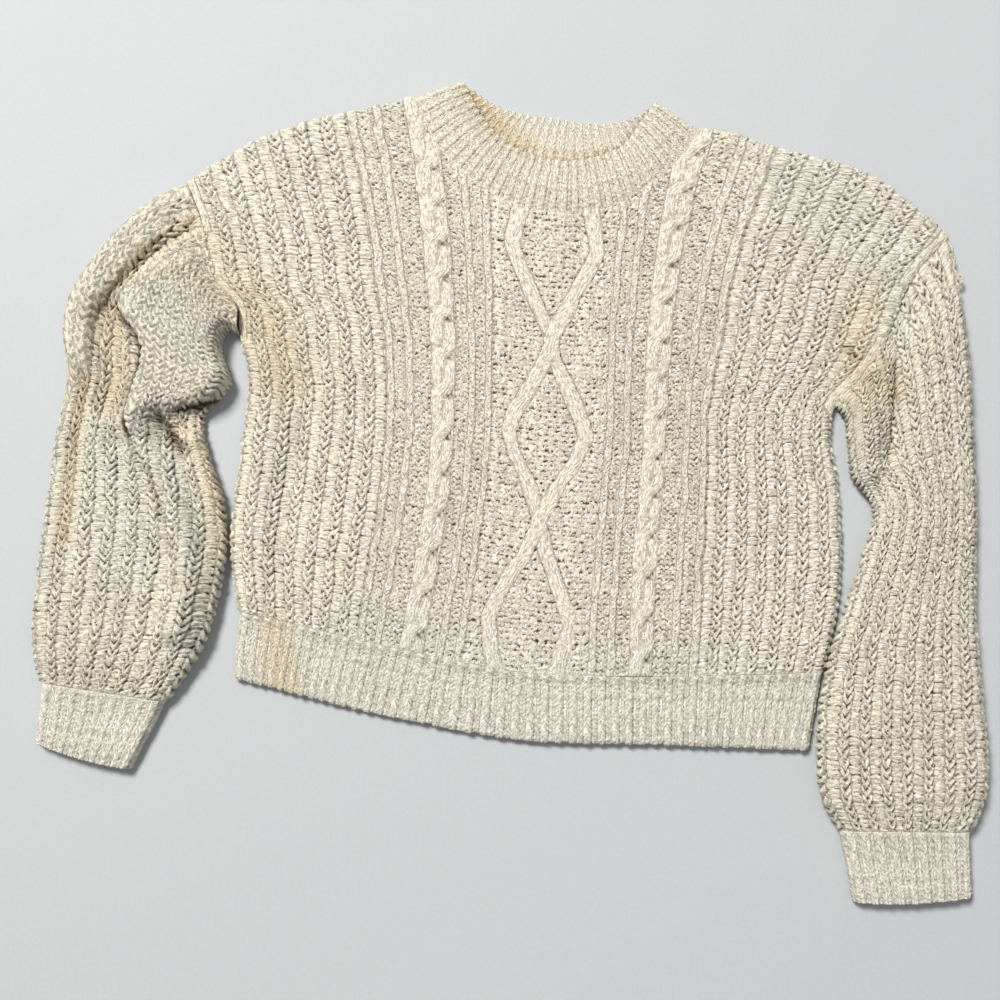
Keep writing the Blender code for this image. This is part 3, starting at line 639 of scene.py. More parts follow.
@dataclass(frozen=True)
class SingleRib:
    """Knit one, purl one: raised chains of small chevrons with a narrow purl ladder between them."""

    row: float = 3.5
    rise: float = 2.1
    lean: float = 1.3  # as in FisherRib
    chain: float = 0.24  # half the width of a chain, as a share of the pitch
    gloom: float = 0.39  # how much shade is painted between the chains

    def relief(self, rib: Array, pitch: Array | float, course: Array, seed: float) -> Relief:
        """The rib's relief.

        Args:
            rib: the place across, counted in ribs, with a knit wale at each whole number.
            pitch: mm from one rib to the next.
            course: mm along.
            seed: which random draw to use.

        Returns:
            The relief.
        """
        near = np.round(rib)
        off = (rib - near) * pitch
        aside, half = np.abs(off), self.chain * pitch
        side = near * 2 + (off > 0)
        climb = (course + self.row * chance(near, 0, seed) - self.lean * aside) / self.row
        row, turn = split(climb)
        leg = (0.6 + 0.4 * yarn(turn, 0.48)) * (0.86 + 0.28 * chance(side, row, seed))
        body = yarn(np.clip(aside - 0.3 * half, 0, None), 0.8 * half)
        chain = leg * body * (1 - 0.3 * bell(aside / 0.6)) * (0.82 + 0.36 * chance(near, 0, seed + 1))
        gap = np.floor(rib)
        bar_row, place = split((course + 0.4 * aside) / self.row + chance(gap, 0, seed + 4))
        bar = yarn(place, 0.5) * (0.26 + 0.34 * chance(gap, bar_row, seed + 5))
        height = self.rise * np.maximum(chain, bar)
        # Painted shade in dots beside the chain and in its middle, and in a line along its foot.
        between = (0.5 - np.abs(turn)) * self.row
        beside = bell(between / 0.85, (aside - half - 0.5) / 0.8)
        dots = beside * np.clip(1.8 * chance(side, np.round(climb), seed + 3) - 0.4, 0, 1.2)
        dots += 0.5 * bell(between / 0.8, aside / 0.6) * chance(near, np.round(climb), seed + 6)
        line = bell((aside - half - 0.45) / 0.75) * (0.65 + 0.5 * chance(side, row, seed + 7))
        pit = self.gloom * (1.2 * unit(0.8 - height / 1.15) ** 1.3 + 0.7 * dots + 1.0 * line)
        return Relief(height - 0.6 * dots, unit(pit), climb * self.row * 0.6, 1.8 * off)


def fuzzed(relief: Relief, places: Array, seed: float, amount: float = 1.0) -> Relief:
    """Makes the yarn uneven, as brushed yarn is. The loose yarn of the panels has an amount of 1."""
    bumps = amount * (0.34 * grain(places, 1.5, seed + 0.3) + 0.25 * grain(places, 3.1, seed + 0.6))
    return replace(relief, height=relief.height + bumps)


def pressed(height: Array, full: float) -> Array:
    """Height of a lower face whose stitches, full mm high or more, are pressed flat on the surface."""
    return 0.8 - 0.8 * unit(height / full)


# ---- how it lies


@dataclass(frozen=True)
class Lap:
    """A fold of cloth that laps over what lies beside it. Its edges are rounded, with shade painted beneath
    them.
    """

    rise: float
    edges: Sequence[Table]  # x, y points of each edge that shows
    ends: Sequence[Table]  # x, y points from each edge to the next, where the fold runs out softly
    radius: float  # how far in from an edge its rounding ends
    soft: float  # how far in from its ends it has its full height
    crease: float = 1.0  # how much shade is painted beside an edge
    gloom: float = 5.0  # how far that painted shade reaches

    def near(self, places: Array) -> tuple[Array, Array, Array]:
        """Whether each place is on the fold, its distance from an edge that shows, and how far in it is."""
        outline = np.vstack([np.vstack(pair) for pair in zip(self.edges, self.ends)])
        crisp = np.min([distance_to(edge, places) for edge in self.edges], axis=0)
        soft = np.full(len(places), np.inf)
        for k, end in enumerate(self.ends):
            after = self.edges[(k + 1) % len(self.edges)]
            path = np.vstack([self.edges[k][-1:], end, after[:1]])
            soft = np.minimum(soft, distance_to(path, places))
        return inside(outline, places), crisp, ease(soft, 0, self.soft)

    def lift(self, places: Array) -> Array:
        """How much the fold lifts each place."""
        within, crisp, share = self.near(places)
        return np.where(within, self.rise * rounded(unit(crisp / self.radius)) * share, 0)

    def shade(self, places: Array) -> Array:
        """How much shade is painted at each place beside the fold's edges."""
        within, crisp, share = self.near(places)
        darkness = np.where(within, 0.3 * bell(crisp / 1.2), np.exp(-crisp / self.gloom))
        return self.crease * share * darkness


@dataclass
class Lay:
    """How the jumper lies: where its wales and courses, seams and folds are in the plane."""

    side_wale: float = 241.0  # of the front's and back's right edge
    under_front: float = 4.4  # height of the front's inner side
    # Five wales of the front as they lie: (course, x, y).
    wale_lines: dict[float, Table] = field(default_factory=lambda: {
        -241.0: (
            (0, -218, -97), (46, -226, -51), (132, -220, 35), (206, -217, 108), (234, -225, 134),
            (255, -227, 155), (288, -248, 182), (334, -258, 227), (372, -274, 267), (480, -308, 366),
        ),
        -87.0: ((0, -80, -129), (65, -68, -64), (148, -57, 18), (380, -65, 250), (480, -79, 350)),
        0.0: ((0, 12, -146), (34, 15, -112), (165, 29, 18), (354, 39, 206), (480, 46, 332)),
        87.0: (
            (0, 105, -149), (85, 110, -64), (167, 118, 18), (286, 126, 136), (401, 144, 250), (480, 166, 329),
        ),
        241.0: (
            (0, 252, -146), (60, 266, -88), (101, 270, -47), (142, 270, -6), (223, 271, 74),
            (254, 293, 97), (283, 310, 120), (312, 322, 146), (343, 334, 174), (398, 373, 219),
            (480, 425, 280),
        ),
    })
    # The same five wales where they end at the hem's lower edge: x, y.
    hem_edge: dict[float, tuple[float, float]] = field(default_factory=lambda: {
        -241.0: (-222, -150), -87.0: (-92, -181), 0.0: (10, -199), 87.0: (104, -202), 241.0: (239, -207),
    })
    left_shoulder: Table = ((-274, 267), (-252, 282), (-218, 303), (-190, 315), (-140, 329), (-82, 344))
    right_shoulder: Table = ((163, 314), (186, 313), (222, 300), (261, 289), (305, 275), (341, 248),
                             (373, 219))
    front_neck: Table = ((-82, 344), (-62, 300), (-38, 274), (-2, 249), (50, 239), (98, 249), (131, 273),
                         (152, 294), (163, 314))
    back_neck: Table = ((-82, 344), (-64, 318), (-26, 292), (40, 277), (108, 286), (146, 300), (163, 314))
    armhole_tip: dict[Side, float] = field(default_factory=lambda: {Side.LEFT: 372.0, Side.RIGHT: 398.0})
    underarm: dict[Side, float] = field(default_factory=lambda: {Side.LEFT: 234.0, Side.RIGHT: 223.0})
    # Folds: (half width, rise, crispness, path of x, y).
    folds: Sequence[tuple] = (
        (13, 3.2, 2, ((-206, 112), (-198, 51), (-203, -20), (-204, -84))),
        (11, -3.2, 2, ((-165, 120), (-167, 52), (-181, 8), (-184, -60))),
        (16, -3.0, 2, ((-207, 160), (-188, 124))),
        (18, -2.4, 2, ((240, 262), (273, 246), (301, 224), (330, 204))),
        (16, 3.0, 2, ((352, 212), (338, 190))),
        (13, -3.0, 2, ((288, 150), (268, 120), (262, 92))),
    )
    # Where warm light bounced from yarn to yarn in folds is painted into the yarn's colour: (half width,
    # strength, path of x, y).
    warm: Sequence[tuple] = (
        (26, 0.7, ((-245, 168), (-215, 158), (-196, 130), (-188, 96))),
        (24, 0.6, ((300, 150), (292, 118), (296, 88))),
        (22, 0.4, ((-262, 222), (-236, 196))),
        (15, 0.8, ((-335, 150), (-326, 112), (-330, 78))),
        (12, 0.7, ((-300, 186), (-270, 182), (-248, 170))),
        (8, 0.8, ((-268, 232), (-290, 212), (-313, 190), (-328, 172), (-338, 152))),
        (7, 0.9, ((-350, 93), (-356, 54), (-361, -40))),
        (13, 0.6, ((-270, 52), (-247, 30), (-240, -12), (-242, -50))),
        (12, 0.8, ((283, 119), (290, 108))),
        (11, 0.8, ((310, 104), (318, 84))),
        (11, 0.9, ((-32, 348), (-16, 326), (2, 308), (16, 300))),
        (6, 0.55, ((16, 298), (34, 292), (60, 290), (84, 298))),
        (14, 0.75, ((-190, -112), (-186, -132), (-182, -160), (-176, -204))),
    )
    # Where cool light from the room is painted into the yarn's colour.
    cool: Sequence[tuple] = (
        (30, 0.4, ((-290, 172), (-262, 150))),
        (26, 0.4, ((240, 262), (280, 240), (320, 200))),
        (14, 0.6, ((326, 168), (323, 130))),
        (11, 0.6, ((-300, 58), (-285, 30), (-266, 3), (-254, -28), (-252, -60))),
        (12, 0.5, ((-318, 160), (-296, 150), (-276, 128), (-258, 108))),
        (9, 0.5, ((-372, 60), (-378, 10), (-382, -60))),
        (40, 0.35, ((-120, -130), (20, -170), (180, -170))),
        (26, 0.4, ((-330, 30), (-300, -60))),
    )
    # Where folds press the cloth together and little light gets in, painted as shade.
    dim: Sequence[tuple] = (
        (5, 0.6, ((-287, 60), (-278, 48), (-270, 37))),
        (3.5, 0.34, ((-313, 56), (-306, 37), (-295, 18), (-278, -19), (-272, -44))),
        (5, 0.12, ((-350, 93), (-356, 54), (-361, -10))),
        (5, 0.2, ((322, 108), (320, 85), (316, 58), (310, 30))),
        (5, 0.35, ((283, 121), (287, 113))),
    )

    def panel_point(self, wale: Array, course: Array) -> Array:
        """Where wales and courses of the front or back lie.

        Args:
            wale: mm to the right of the middle.
            course: mm above the hem rib.

        Returns:
            An array of x, y.
        """
        wale, course = np.broadcast_arrays(np.atleast_1d(np.asarray(wale, float)), np.asarray(course, float))
        knots = sorted(self.wale_lines)
        lines = [np.array(self.wale_lines[knot], float) for knot in knots]
        xs = np.array([smooth(course, line[:, 0], line[:, 1]) for line in lines])
        ys = np.array([smooth(course, line[:, 0], line[:, 2]) for line in lines])
        return np.stack([smooth(wale, knots, xs), smooth(wale, knots, ys)], axis=1)

    def hem_point(self, wale: Array, share: Array) -> Array:
        """Points of the hem rib, share of the way down from its seam to its edge."""
        knots = sorted(self.hem_edge)
        ends = np.array([self.hem_edge[knot] for knot in knots], float)
        edge = np.stack([smooth(wale, knots, ends[:, 0]), smooth(wale, knots, ends[:, 1])], axis=1)
        seam = self.panel_point(wale, 0.0) - (0.0, SEAM_GAP)
        return seam + (edge - seam) * np.reshape(share, (-1, 1))

    def armhole(self, side: Side, shares: Array) -> Array:
        """Points of the armhole seam, from the shoulder tip down."""
        tip, pit = self.armhole_tip[side], self.underarm[side]
        return self.panel_point(side.sign * self.side_wale, tip + (pit - tip) * np.asarray(shares))

    def top_line(self, neck: Table) -> Array:
        """The upper outline of a panel with this neckline, from the left armhole to the right one."""
        parts = (self.left_shoulder, neck, self.right_shoulder)
        return np.vstack([along(part, np.linspace(0, 1, 60)) for part in parts])

    def top_course(self, wales: Array, neck: Table) -> Array:
        """The course at which each wale reaches the shoulder or the neckline.

        Args:
            wales: the wales.
            neck: the neckline's points.

        Returns:
            A course for each wale.
        """
        top = self.top_line(neck)
        left, right, bottom = -700.0, top[-1, 0] + 300, -600.0  # well outside the panel
        loop = np.vstack([top, [(right, top[-1, 1]), (right, bottom), (left, bottom), (left, top[0, 1])]])
        low, high = np.full(len(wales), 180.0), np.full(len(wales), 480.0)
        for _ in range(18):
            middle = (low + high) / 2
            within = inside(loop, self.panel_point(wales, middle))
            low, high = np.where(within, middle, low), np.where(within, high, middle)
        return low

    def panel_grid(self, low: float, high: float, step: float, neck: Table) -> tuple[Array, ...]:
        """Points of a panel between two wales, in columns from the hem rib to the shoulder or the neckline.

        Args:
            low: the first wale.
            high: the last wale.
            step: from one point to the next.
            neck: the neckline's points.

        Returns:
            Wale and course of each point, how many points each column has, and the course where it ends.
            Shorter columns repeat their last point.
        """
        wales = np.linspace(low, high, int(round((high - low) / step)) + 1)
        tops = self.top_course(wales, neck)
        for side in Side:
            tops[np.abs(wales - side.sign * self.side_wale) < 1e-6] = self.armhole_tip[side]
        rows = np.ceil(tops / step - 0.3).astype(int) + 1
        index = np.arange(rows.max())[None, :]
        course = np.where(index >= rows[:, None] - 1, tops[:, None], np.minimum(index * step, tops[:, None]))
        return np.repeat(wales, course.shape[1]), course.ravel(), rows, tops

    def tint(self, places: Array) -> list[Array]:
        """How much painted warm light, cool light and shade each place gets, each from 0 to 1."""
        tints = []
        for patches in (self.warm, self.cool, self.dim):
            total = np.zeros(len(places))
            for half_width, strength, path in patches:
                total = np.maximum(total, strength * bell(distance_to(path, places) / half_width))
            tints.append(total)
        return tints


# ---- shells


def new_object(name: str, data: bpy.types.ID) -> Thing:
    """Makes and links an object that shows this mesh, light or camera."""
    thing = bpy.data.objects.new(name, data)
    bpy.context.collection.objects.link(thing)
    return thing


@dataclass
class Skin:
    """A mesh in the making: points in millimetres, faces, and the stitches' painted shade at each point."""

    # Points, how dark each is, and where it lies across and along the yarn.
    parts: list[tuple[Array, ...]] = field(default_factory=list)
    quads: list[Array] = field(default_factory=list)
    triangles: list[Array] = field(default_factory=list)
    sharp: list[Array] = field(default_factory=list)  # pairs of points whose edge is shaded sharp
    count: int = 0

    def add_points(self, points: Array, pit: Array | float, across: Array | None = None,
                   along: Array | None = None) -> Array:
        """Adds points and returns their numbers. Where no yarn is given, it runs along Y."""
        if across is None:
            across, along = points[:, 0], points[:, 1]
        self.parts.append((points, np.broadcast_to(pit, len(points)), across, along))
        self.count += len(points)
        return np.arange(self.count - len(points), self.count)

    def add_faces(self, corners: Array) -> None:
        """Adds quads in rows of four numbers, or triangles in rows of three. Repeated corners are dropped."""
        corners = np.asarray(corners)
        if corners.shape[1] == 3:
            self.triangles.append(corners)
            return
        same = corners == np.roll(corners, -1, axis=1)
        self.quads.append(corners[same.sum(axis=1) == 0])
        for k in range(4):
            cut = (same.sum(axis=1) == 1) & same[:, k]
            self.triangles.append(np.delete(corners[cut], k, axis=1))

    def build(self, name: str, lay: Lay, cloth: Material) -> Thing:
        """Makes the object.

        Args:
            name: its name.
            lay: gives the tint at each place.
            cloth: its material.

        Returns:
            The object, in the row frame.
        """
        points, pit, across, along = (np.concatenate(part) for part in zip(*self.parts))
        quads = np.vstack([*self.quads, np.zeros((0, 4), int)])
        triangles = np.vstack([*self.triangles, np.zeros((0, 3), int)])
        corners = np.concatenate([quads.ravel(), triangles.ravel()]).astype(np.int32)
        starts = np.concatenate([np.arange(len(quads)) * 4, len(quads) * 4 + np.arange(len(triangles)) * 3])
        mesh = bpy.data.meshes.new(name)
        mesh.vertices.add(len(points))
        mesh.vertices.foreach_set("co", ((points - (*BOX_CENTRE, 0.0)) * MM).astype(np.float32).ravel())
        mesh.loops.add(len(corners))
        mesh.loops.foreach_set("vertex_index", corners)
        mesh.polygons.add(len(starts))
        mesh.polygons.foreach_set("loop_start", starts.astype(np.int32))
        mesh.update(calc_edges=True)
        mesh.validate()
        mesh.shade_smooth()
        if self.sharp:
            ends = np.zeros(len(mesh.edges) * 2, np.int64)
            mesh.edges.foreach_get("vertices", ends)
            edges, sharp = (np.sort(pairs, axis=1) @ (len(points), 1)
                            for pairs in (ends.reshape(-1, 2), np.vstack(self.sharp)))
            mesh.edges.foreach_set("use_edge_sharp", np.isin(edges, sharp))
        # The painted shade of stitches and folds, and the painted warm and cool light, go on each point.
        warm, cool, dim = lay.tint(points[:, :2])
        labels = {"pit": unit(pit + dim), "warm": warm, "cool": cool, "across": across, "along": along}
        for label, values in labels.items():
            layer = mesh.attributes.new(label, "FLOAT", "POINT")
            layer.data.foreach_set("value", values.astype(np.float32))
        mesh.materials.append(cloth)
        return new_object(name, mesh)


def surface_normals(grid: Array) -> Array:
    """Unit normals of a grid of points.

    Args:
        grid: points as (columns, rows, 3), with columns to the right and rows up.

    Returns:
        An array of the same shape.
    """
    normals = np.cross(np.gradient(grid, axis=0), np.gradient(grid, axis=1))
    length = np.linalg.norm(normals, axis=2, keepdims=True)
    return np.where(length > 1e-6, normals / np.maximum(length, 1e-6), (0.0, 0.0, 1.0))


def grid_faces(numbers: Array) -> Array:
    """Quads between neighbouring columns and rows of a grid of point numbers."""
    corners = [numbers[:-1, :-1], numbers[1:, :-1], numbers[1:, 1:], numbers[:-1, 1:]]
    return np.stack(corners, axis=-1).reshape(-1, 4)


def rim_faces(outer: Array, inner: Array, outer_turn: Array, inner_turn: Array) -> Array:
    """Triangles that close the end of a tube between its outer and inner ring.

    Args:
        outer: the outer ring's point numbers.
        inner: the inner ring's point numbers.
        outer_turn: how far round each outer point lies, from 0 to 1.
        inner_turn: the same for the inner points.

    Returns:
        Rows of three numbers.
    """
    faces, i, j = [], 0, 0
    m, n = len(outer), len(inner)
    while i < m or j < n:
        next_outer = outer_turn[i + 1] if i + 1 < m else 1.0
        next_inner = inner_turn[j + 1] if j + 1 < n else 1.0
        if j == n or (i < m and next_outer <= next_inner):
            faces.append((outer[i], outer[(i + 1) % m], inner[j % n]))
            i += 1
        else:
            faces.append((outer[i % m], inner[(j + 1) % n], inner[j]))
            j += 1
    return np.array(faces)


@dataclass
class Sheet:
    """A closed wall of cloth over an outline: a knitted outer side, a plain inner side and a rim."""

    grid: Array  # (columns, rows, 3) in mm, before the stitches
    relief: Relief  # one value for each point of the grid
    rows: Array  # how many points each column has before its last one repeats
    inner: float  # height of the inner side
    spacing: float = 14.0  # of the inner side's points
    downward: bool = False  # whether the knitted side faces down

    def skin(self) -> Skin:
        """Builds the wall."""
        shape = self.grid.shape[:2]
        skin = Skin()
        index = np.arange(shape[1])[None, :]
        kept = index < self.rows[:, None]
        numbers = (np.cumsum(self.rows) - self.rows)[:, None] + np.minimum(index, self.rows[:, None] - 1)
        facing = -1 if self.downward else 1
        relief = self.relief
        raised = self.grid + surface_normals(self.grid) * (facing * relief.height.reshape(*shape, 1))
        values = (value.reshape(shape)[kept] for value in (relief.pit, relief.across, relief.along))
        skin.add_points(raised[kept], *values)
        quads = grid_faces(numbers)
        skin.add_faces(quads[:, ::-1] if self.downward else quads)
        right, left = numbers[-1, 1 : self.rows[-1]], numbers[0, self.rows[0] - 2 : 0 : -1]
        loop = np.concatenate([numbers[:, 0], right, numbers[-2::-1, -1], left])
        outline = self.grid[kept][loop]
        low, high = outline.min(axis=0), outline.max(axis=0)
        lattice = np.array(list(product(*(np.arange(low[k], high[k], self.spacing) for k in (0, 1)))))
        closed = np.vstack([outline[:, :2], outline[:1, :2]])
        clear = inside(outline[:, :2], lattice) & (distance_to(closed[::4], lattice) > 0.4 * self.spacing)
        flat = np.vstack([outline[:, :2], lattice[clear]])
        count = len(loop)
        edges = [(i, (i + 1) % count) for i in range(count)]
        found, _, faces, origins, *_ = delaunay_2d_cdt([Vector(p) for p in flat], edges, [], 1, 1e-6)
        placed = np.array([tuple(p) for p in found])
        corners = np.array(faces)
        first, second, third = (placed[corners[:, k]] for k in range(3))
        turn = np.cross(second - first, third - first)
        corners = np.where((turn > 0)[:, None], corners, corners[:, ::-1])
        source = np.array([group[0] for group in origins])
        order = np.empty(len(flat), int)
        order[source] = np.arange(len(placed))
        under = skin.add_points(np.column_stack([placed, np.full(len(placed), self.inner)]), PLAIN_SHADE)
        bottom = under[corners]
        skin.add_faces(bottom if self.downward else bottom[:, ::-1])
        ring = under[order[:count]]
        rim = np.stack([loop, ring, np.roll(ring, -1), np.roll(loop, -1)], axis=1)
        skin.add_faces(rim[:, ::-1] if self.downward else rim)
        skin.sharp.append(np.stack([loop, np.roll(loop, -1)], axis=1))
        return skin


@dataclass
class Tube:
    """A closed wall of cloth round a flattened hollow, open at both ends."""

    outer: Array  # (rings, points round, 3) in mm, before the stitches
    outer_turn: Array
    inner: Array
    inner_turn: Array
    outer_relief: Relief | None = None
    inner_relief: Relief | None = None

    def skin(self) -> Skin:
        """Builds the wall. Rings run along the tube, and points go round it over the top first."""
        skin = Skin()
        ends = []
        for grid, relief, turned in ((self.outer, self.outer_relief, 1), (self.inner, self.inner_relief, -1)):
            rings, count, _ = grid.shape
            # A side without stitches gets an even painted shade.
            placed, pit, across, along = grid, 0.25, None, None
            if relief is not None:
                wrapped = np.concatenate([grid[:, -1:], grid, grid[:, :1]], axis=1)
                normals = surface_normals(wrapped)[:, 1:-1]
                centre = grid.mean(axis=1, keepdims=True)
                outward = np.sign((normals * (grid - centre)).sum())
                placed = grid + normals * outward * relief.height.reshape(rings, count, 1) * turned
                pit, across, along = relief.pit, relief.across, relief.along
            numbers = skin.add_points(placed.reshape(-1, 3), pit, across, along).reshape(rings, count)
            looped = np.concatenate([numbers, numbers[:, :1]], axis=1)
            quads = grid_faces(looped)
            skin.add_faces(quads if turned > 0 else quads[:, ::-1])
            ends.append((numbers[0], numbers[-1]))
        (first_out, last_out), (first_in, last_in) = ends
        skin.add_faces(rim_faces(first_out, first_in, self.outer_turn, self.inner_turn))
        skin.add_faces(rim_faces(last_out, last_in, self.outer_turn, self.inner_turn)[:, ::-1])
        self.orient(skin)
        return skin

    @staticmethod
    def orient(skin: Skin) -> None:
        """Turns all faces over if the wall would be inside out."""
        points = np.vstack([part[0] for part in skin.parts])
        quads = np.vstack(skin.quads)
        corners = np.vstack([quads[:, [0, 1, 2]], quads[:, [0, 2, 3]], *skin.triangles])
        first, second, third = (points[corners[:, k]] for k in range(3))
        if np.einsum("ij,ij->", first, np.cross(second, third)) < 0:
            skin.quads = [faces[:, ::-1] for faces in skin.quads]
            skin.triangles = [faces[:, ::-1] for faces in skin.triangles]


# ---- materials


def srgb(code: str) -> tuple[float, float, float, float]:
    """Turns a colour written as sRGB hex, such as "E2DAC4", into linear red, green, blue and alpha."""
    values = [int(code[i : i + 2], 16) / 255 for i in (0, 2, 4)]
    return (*[v / 12.92 if v <= 0.04045 else ((v + 0.055) / 1.055) ** 2.4 for v in values], 1.0)


def add_node(tree: bpy.types.NodeTree, kind: str, settings: dict | None = None,
             **links: object) -> bpy.types.Node:
    """Adds a node with its settings and links.

    Args:
        tree: the material's nodes.
        kind: the node's Blender type, after "ShaderNode".
        settings: attributes of the node.
        **links: an input's name, with underscores for spaces, or i and its number, and an output socket to
            link or a value to set.

    Returns:
        The node.
    """
    node = tree.nodes.new("ShaderNode" + kind)
    for key, value in (settings or {}).items():
        setattr(node, key, value)
    for key, value in links.items():
        numbered = key[0] == "i" and key[1:].isdigit()
        socket = node.inputs[int(key[1:]) if numbered else key.replace("_", " ")]
        if isinstance(value, bpy.types.NodeSocket):
            tree.links.new(value, socket)
        else:
            socket.default_value = value
    return node


@dataclass(frozen=True)
class WoolYarn:
    """Chunky brushed yarn of wool and acrylic. It is dull, downy and cream, with painted shade between the
    stitches and painted warm and cool light in places.
    """

    name: str
    light: str = "F6EFDE"  # the yarn's own colour
    shade: str = "443523"  # painted shade deep between the stitches, brown as light that has come through wool
    warm: str = "EAD8B6"  # painted light that comes from yarn to yarn inside a fold
    cool: str = "E6E8DC"  # painted light that comes from the room
    fibre: float = 1.5  # mm from one fibre clump to the next
    ply: float = 1.25  # mm from one strand of fibres to the next, drawn coarser than wool so that it shows
    run: float = 5.0  # mm that such a strand runs along the yarn
    patch: float = 250 / 7  # mm from one patch of wear to the next
    down: float = 0.3  # how much the downy fibres lighten it at a glance

    def material(self) -> Material:
        """Builds the material."""
        cloth = bpy.data.materials.new(self.name)
        cloth.use_nodes = True
        tree = cloth.node_tree
        tree.nodes.clear()
        place = add_node(tree, "TexCoord").outputs["Object"]
        reads = {label: add_node(tree, "Attribute", {"attribute_name": label}).outputs["Fac"]
                 for label in ("pit", "warm", "cool", "across", "along")}
        # Clumps of fibre, strands of fibre that follow the yarn, and patches from washing and wear.
        clumps = add_node(tree, "TexNoise", Vector=place, Scale=1 / MM / self.fibre, Detail=3.0,
                          Roughness=0.65).outputs["Fac"]
        beside, onward = (
            add_node(tree, "Math", {"operation": "DIVIDE"}, i0=reads[label], i1=size).outputs[0]
            for label, size in (("across", self.ply), ("along", self.run)))
        course = add_node(tree, "CombineXYZ", X=beside, Y=onward).outputs[0]
        strands = add_node(tree, "TexNoise", Vector=course, Scale=1.0, Detail=2.0).outputs["Fac"]
        patches = add_node(tree, "TexNoise", Vector=place, Scale=1 / MM / self.patch,
                           Detail=2.0).outputs["Fac"]
        # How much each of them darkens and lightens the yarn.
        parts = [add_node(tree, "MapRange", Value=noise, From_Min=0.3, From_Max=0.7, To_Min=low,
                          To_Max=high).outputs[0]
                 for noise, low, high in ((clumps, 0.66, 1.16), (patches, 0.955, 1.03), (strands, 0.5, 1.26))]
        worn = parts[0]
        for part in parts[1:]:
            worn = add_node(tree, "Math", {"operation": "MULTIPLY"}, i0=worn, i1=part).outputs[0]
        # The painted shade starts and ends within a yarn's width, so the holes look cut out.
        depth = add_node(tree, "MapRange", {"interpolation_type": "SMOOTHSTEP"}, Value=reads["pit"],
                         From_Min=0.1, From_Max=0.88).outputs[0]
        # The painted warm and cool light go over the yarn's colour, then the fibre marks, then the painted
        # shade.
        colour = srgb(self.light)
        for share, tone in ((reads["warm"], self.warm), (reads["cool"], self.cool), (depth, self.shade)):
            if share is depth:
                colour = add_node(tree, "VectorMath", {"operation": "SCALE"}, i0=colour,
                                  Scale=worn).outputs[0]
            colour = add_node(tree, "Mix", {"data_type": "RGBA"}, i0=share, i6=colour,
                              i7=srgb(tone)).outputs[2]
        fuzz = add_node(tree, "Math", {"operation": "ADD"}, i0=clumps, i1=strands).outputs[0]
        bump = add_node(tree, "Bump", Height=fuzz, Strength=1.0, Distance=0.0014).outputs[0]
        shader = add_node(tree, "BsdfPrincipled", Base_Color=colour, Normal=bump, Roughness=0.92,
                          IOR=1.45, Specular_IOR_Level=0.25, Sheen_Weight=self.down, Sheen_Roughness=0.45)
        shader.inputs["Sheen Tint"].default_value = srgb("FFF8E8")
        add_node(tree, "OutputMaterial", Surface=shader.outputs[0])
        return cloth


# ---- the garment


@dataclass
class Knitted:
    """What all knitted parts share: how the jumper lies, the material and the way a piece's object is built,
    hung on the body and put in place of its CAD part.
    """

    lay: Lay
    cloth: Material

    def declare(self, skin: Skin, name: str, node: str, slot: Slot, flat: tuple[float, float],
                area: float | None = None, rests_on: Sequence[str] = ()) -> None:
        """Args:
            skin: its mesh.
            name: its name.
            node: the node that it stands for.
            slot: its kind of knitting; not used.
            flat: width and length of its cloth, in mm.
            area: flat area in mm2, where the cloth isn't a rectangle; turned into square metres, then not
                used.
            rests_on: what it rests on; not used.
        """
        thing = skin.build(name, self.lay, self.cloth)
        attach(thing, BODY)
        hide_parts(node)
        area = None if area is None else area * MM * MM
        log.info("%s: %d faces, cut %.0f x %.0f mm", name, len(thing.data.polygons), *flat)


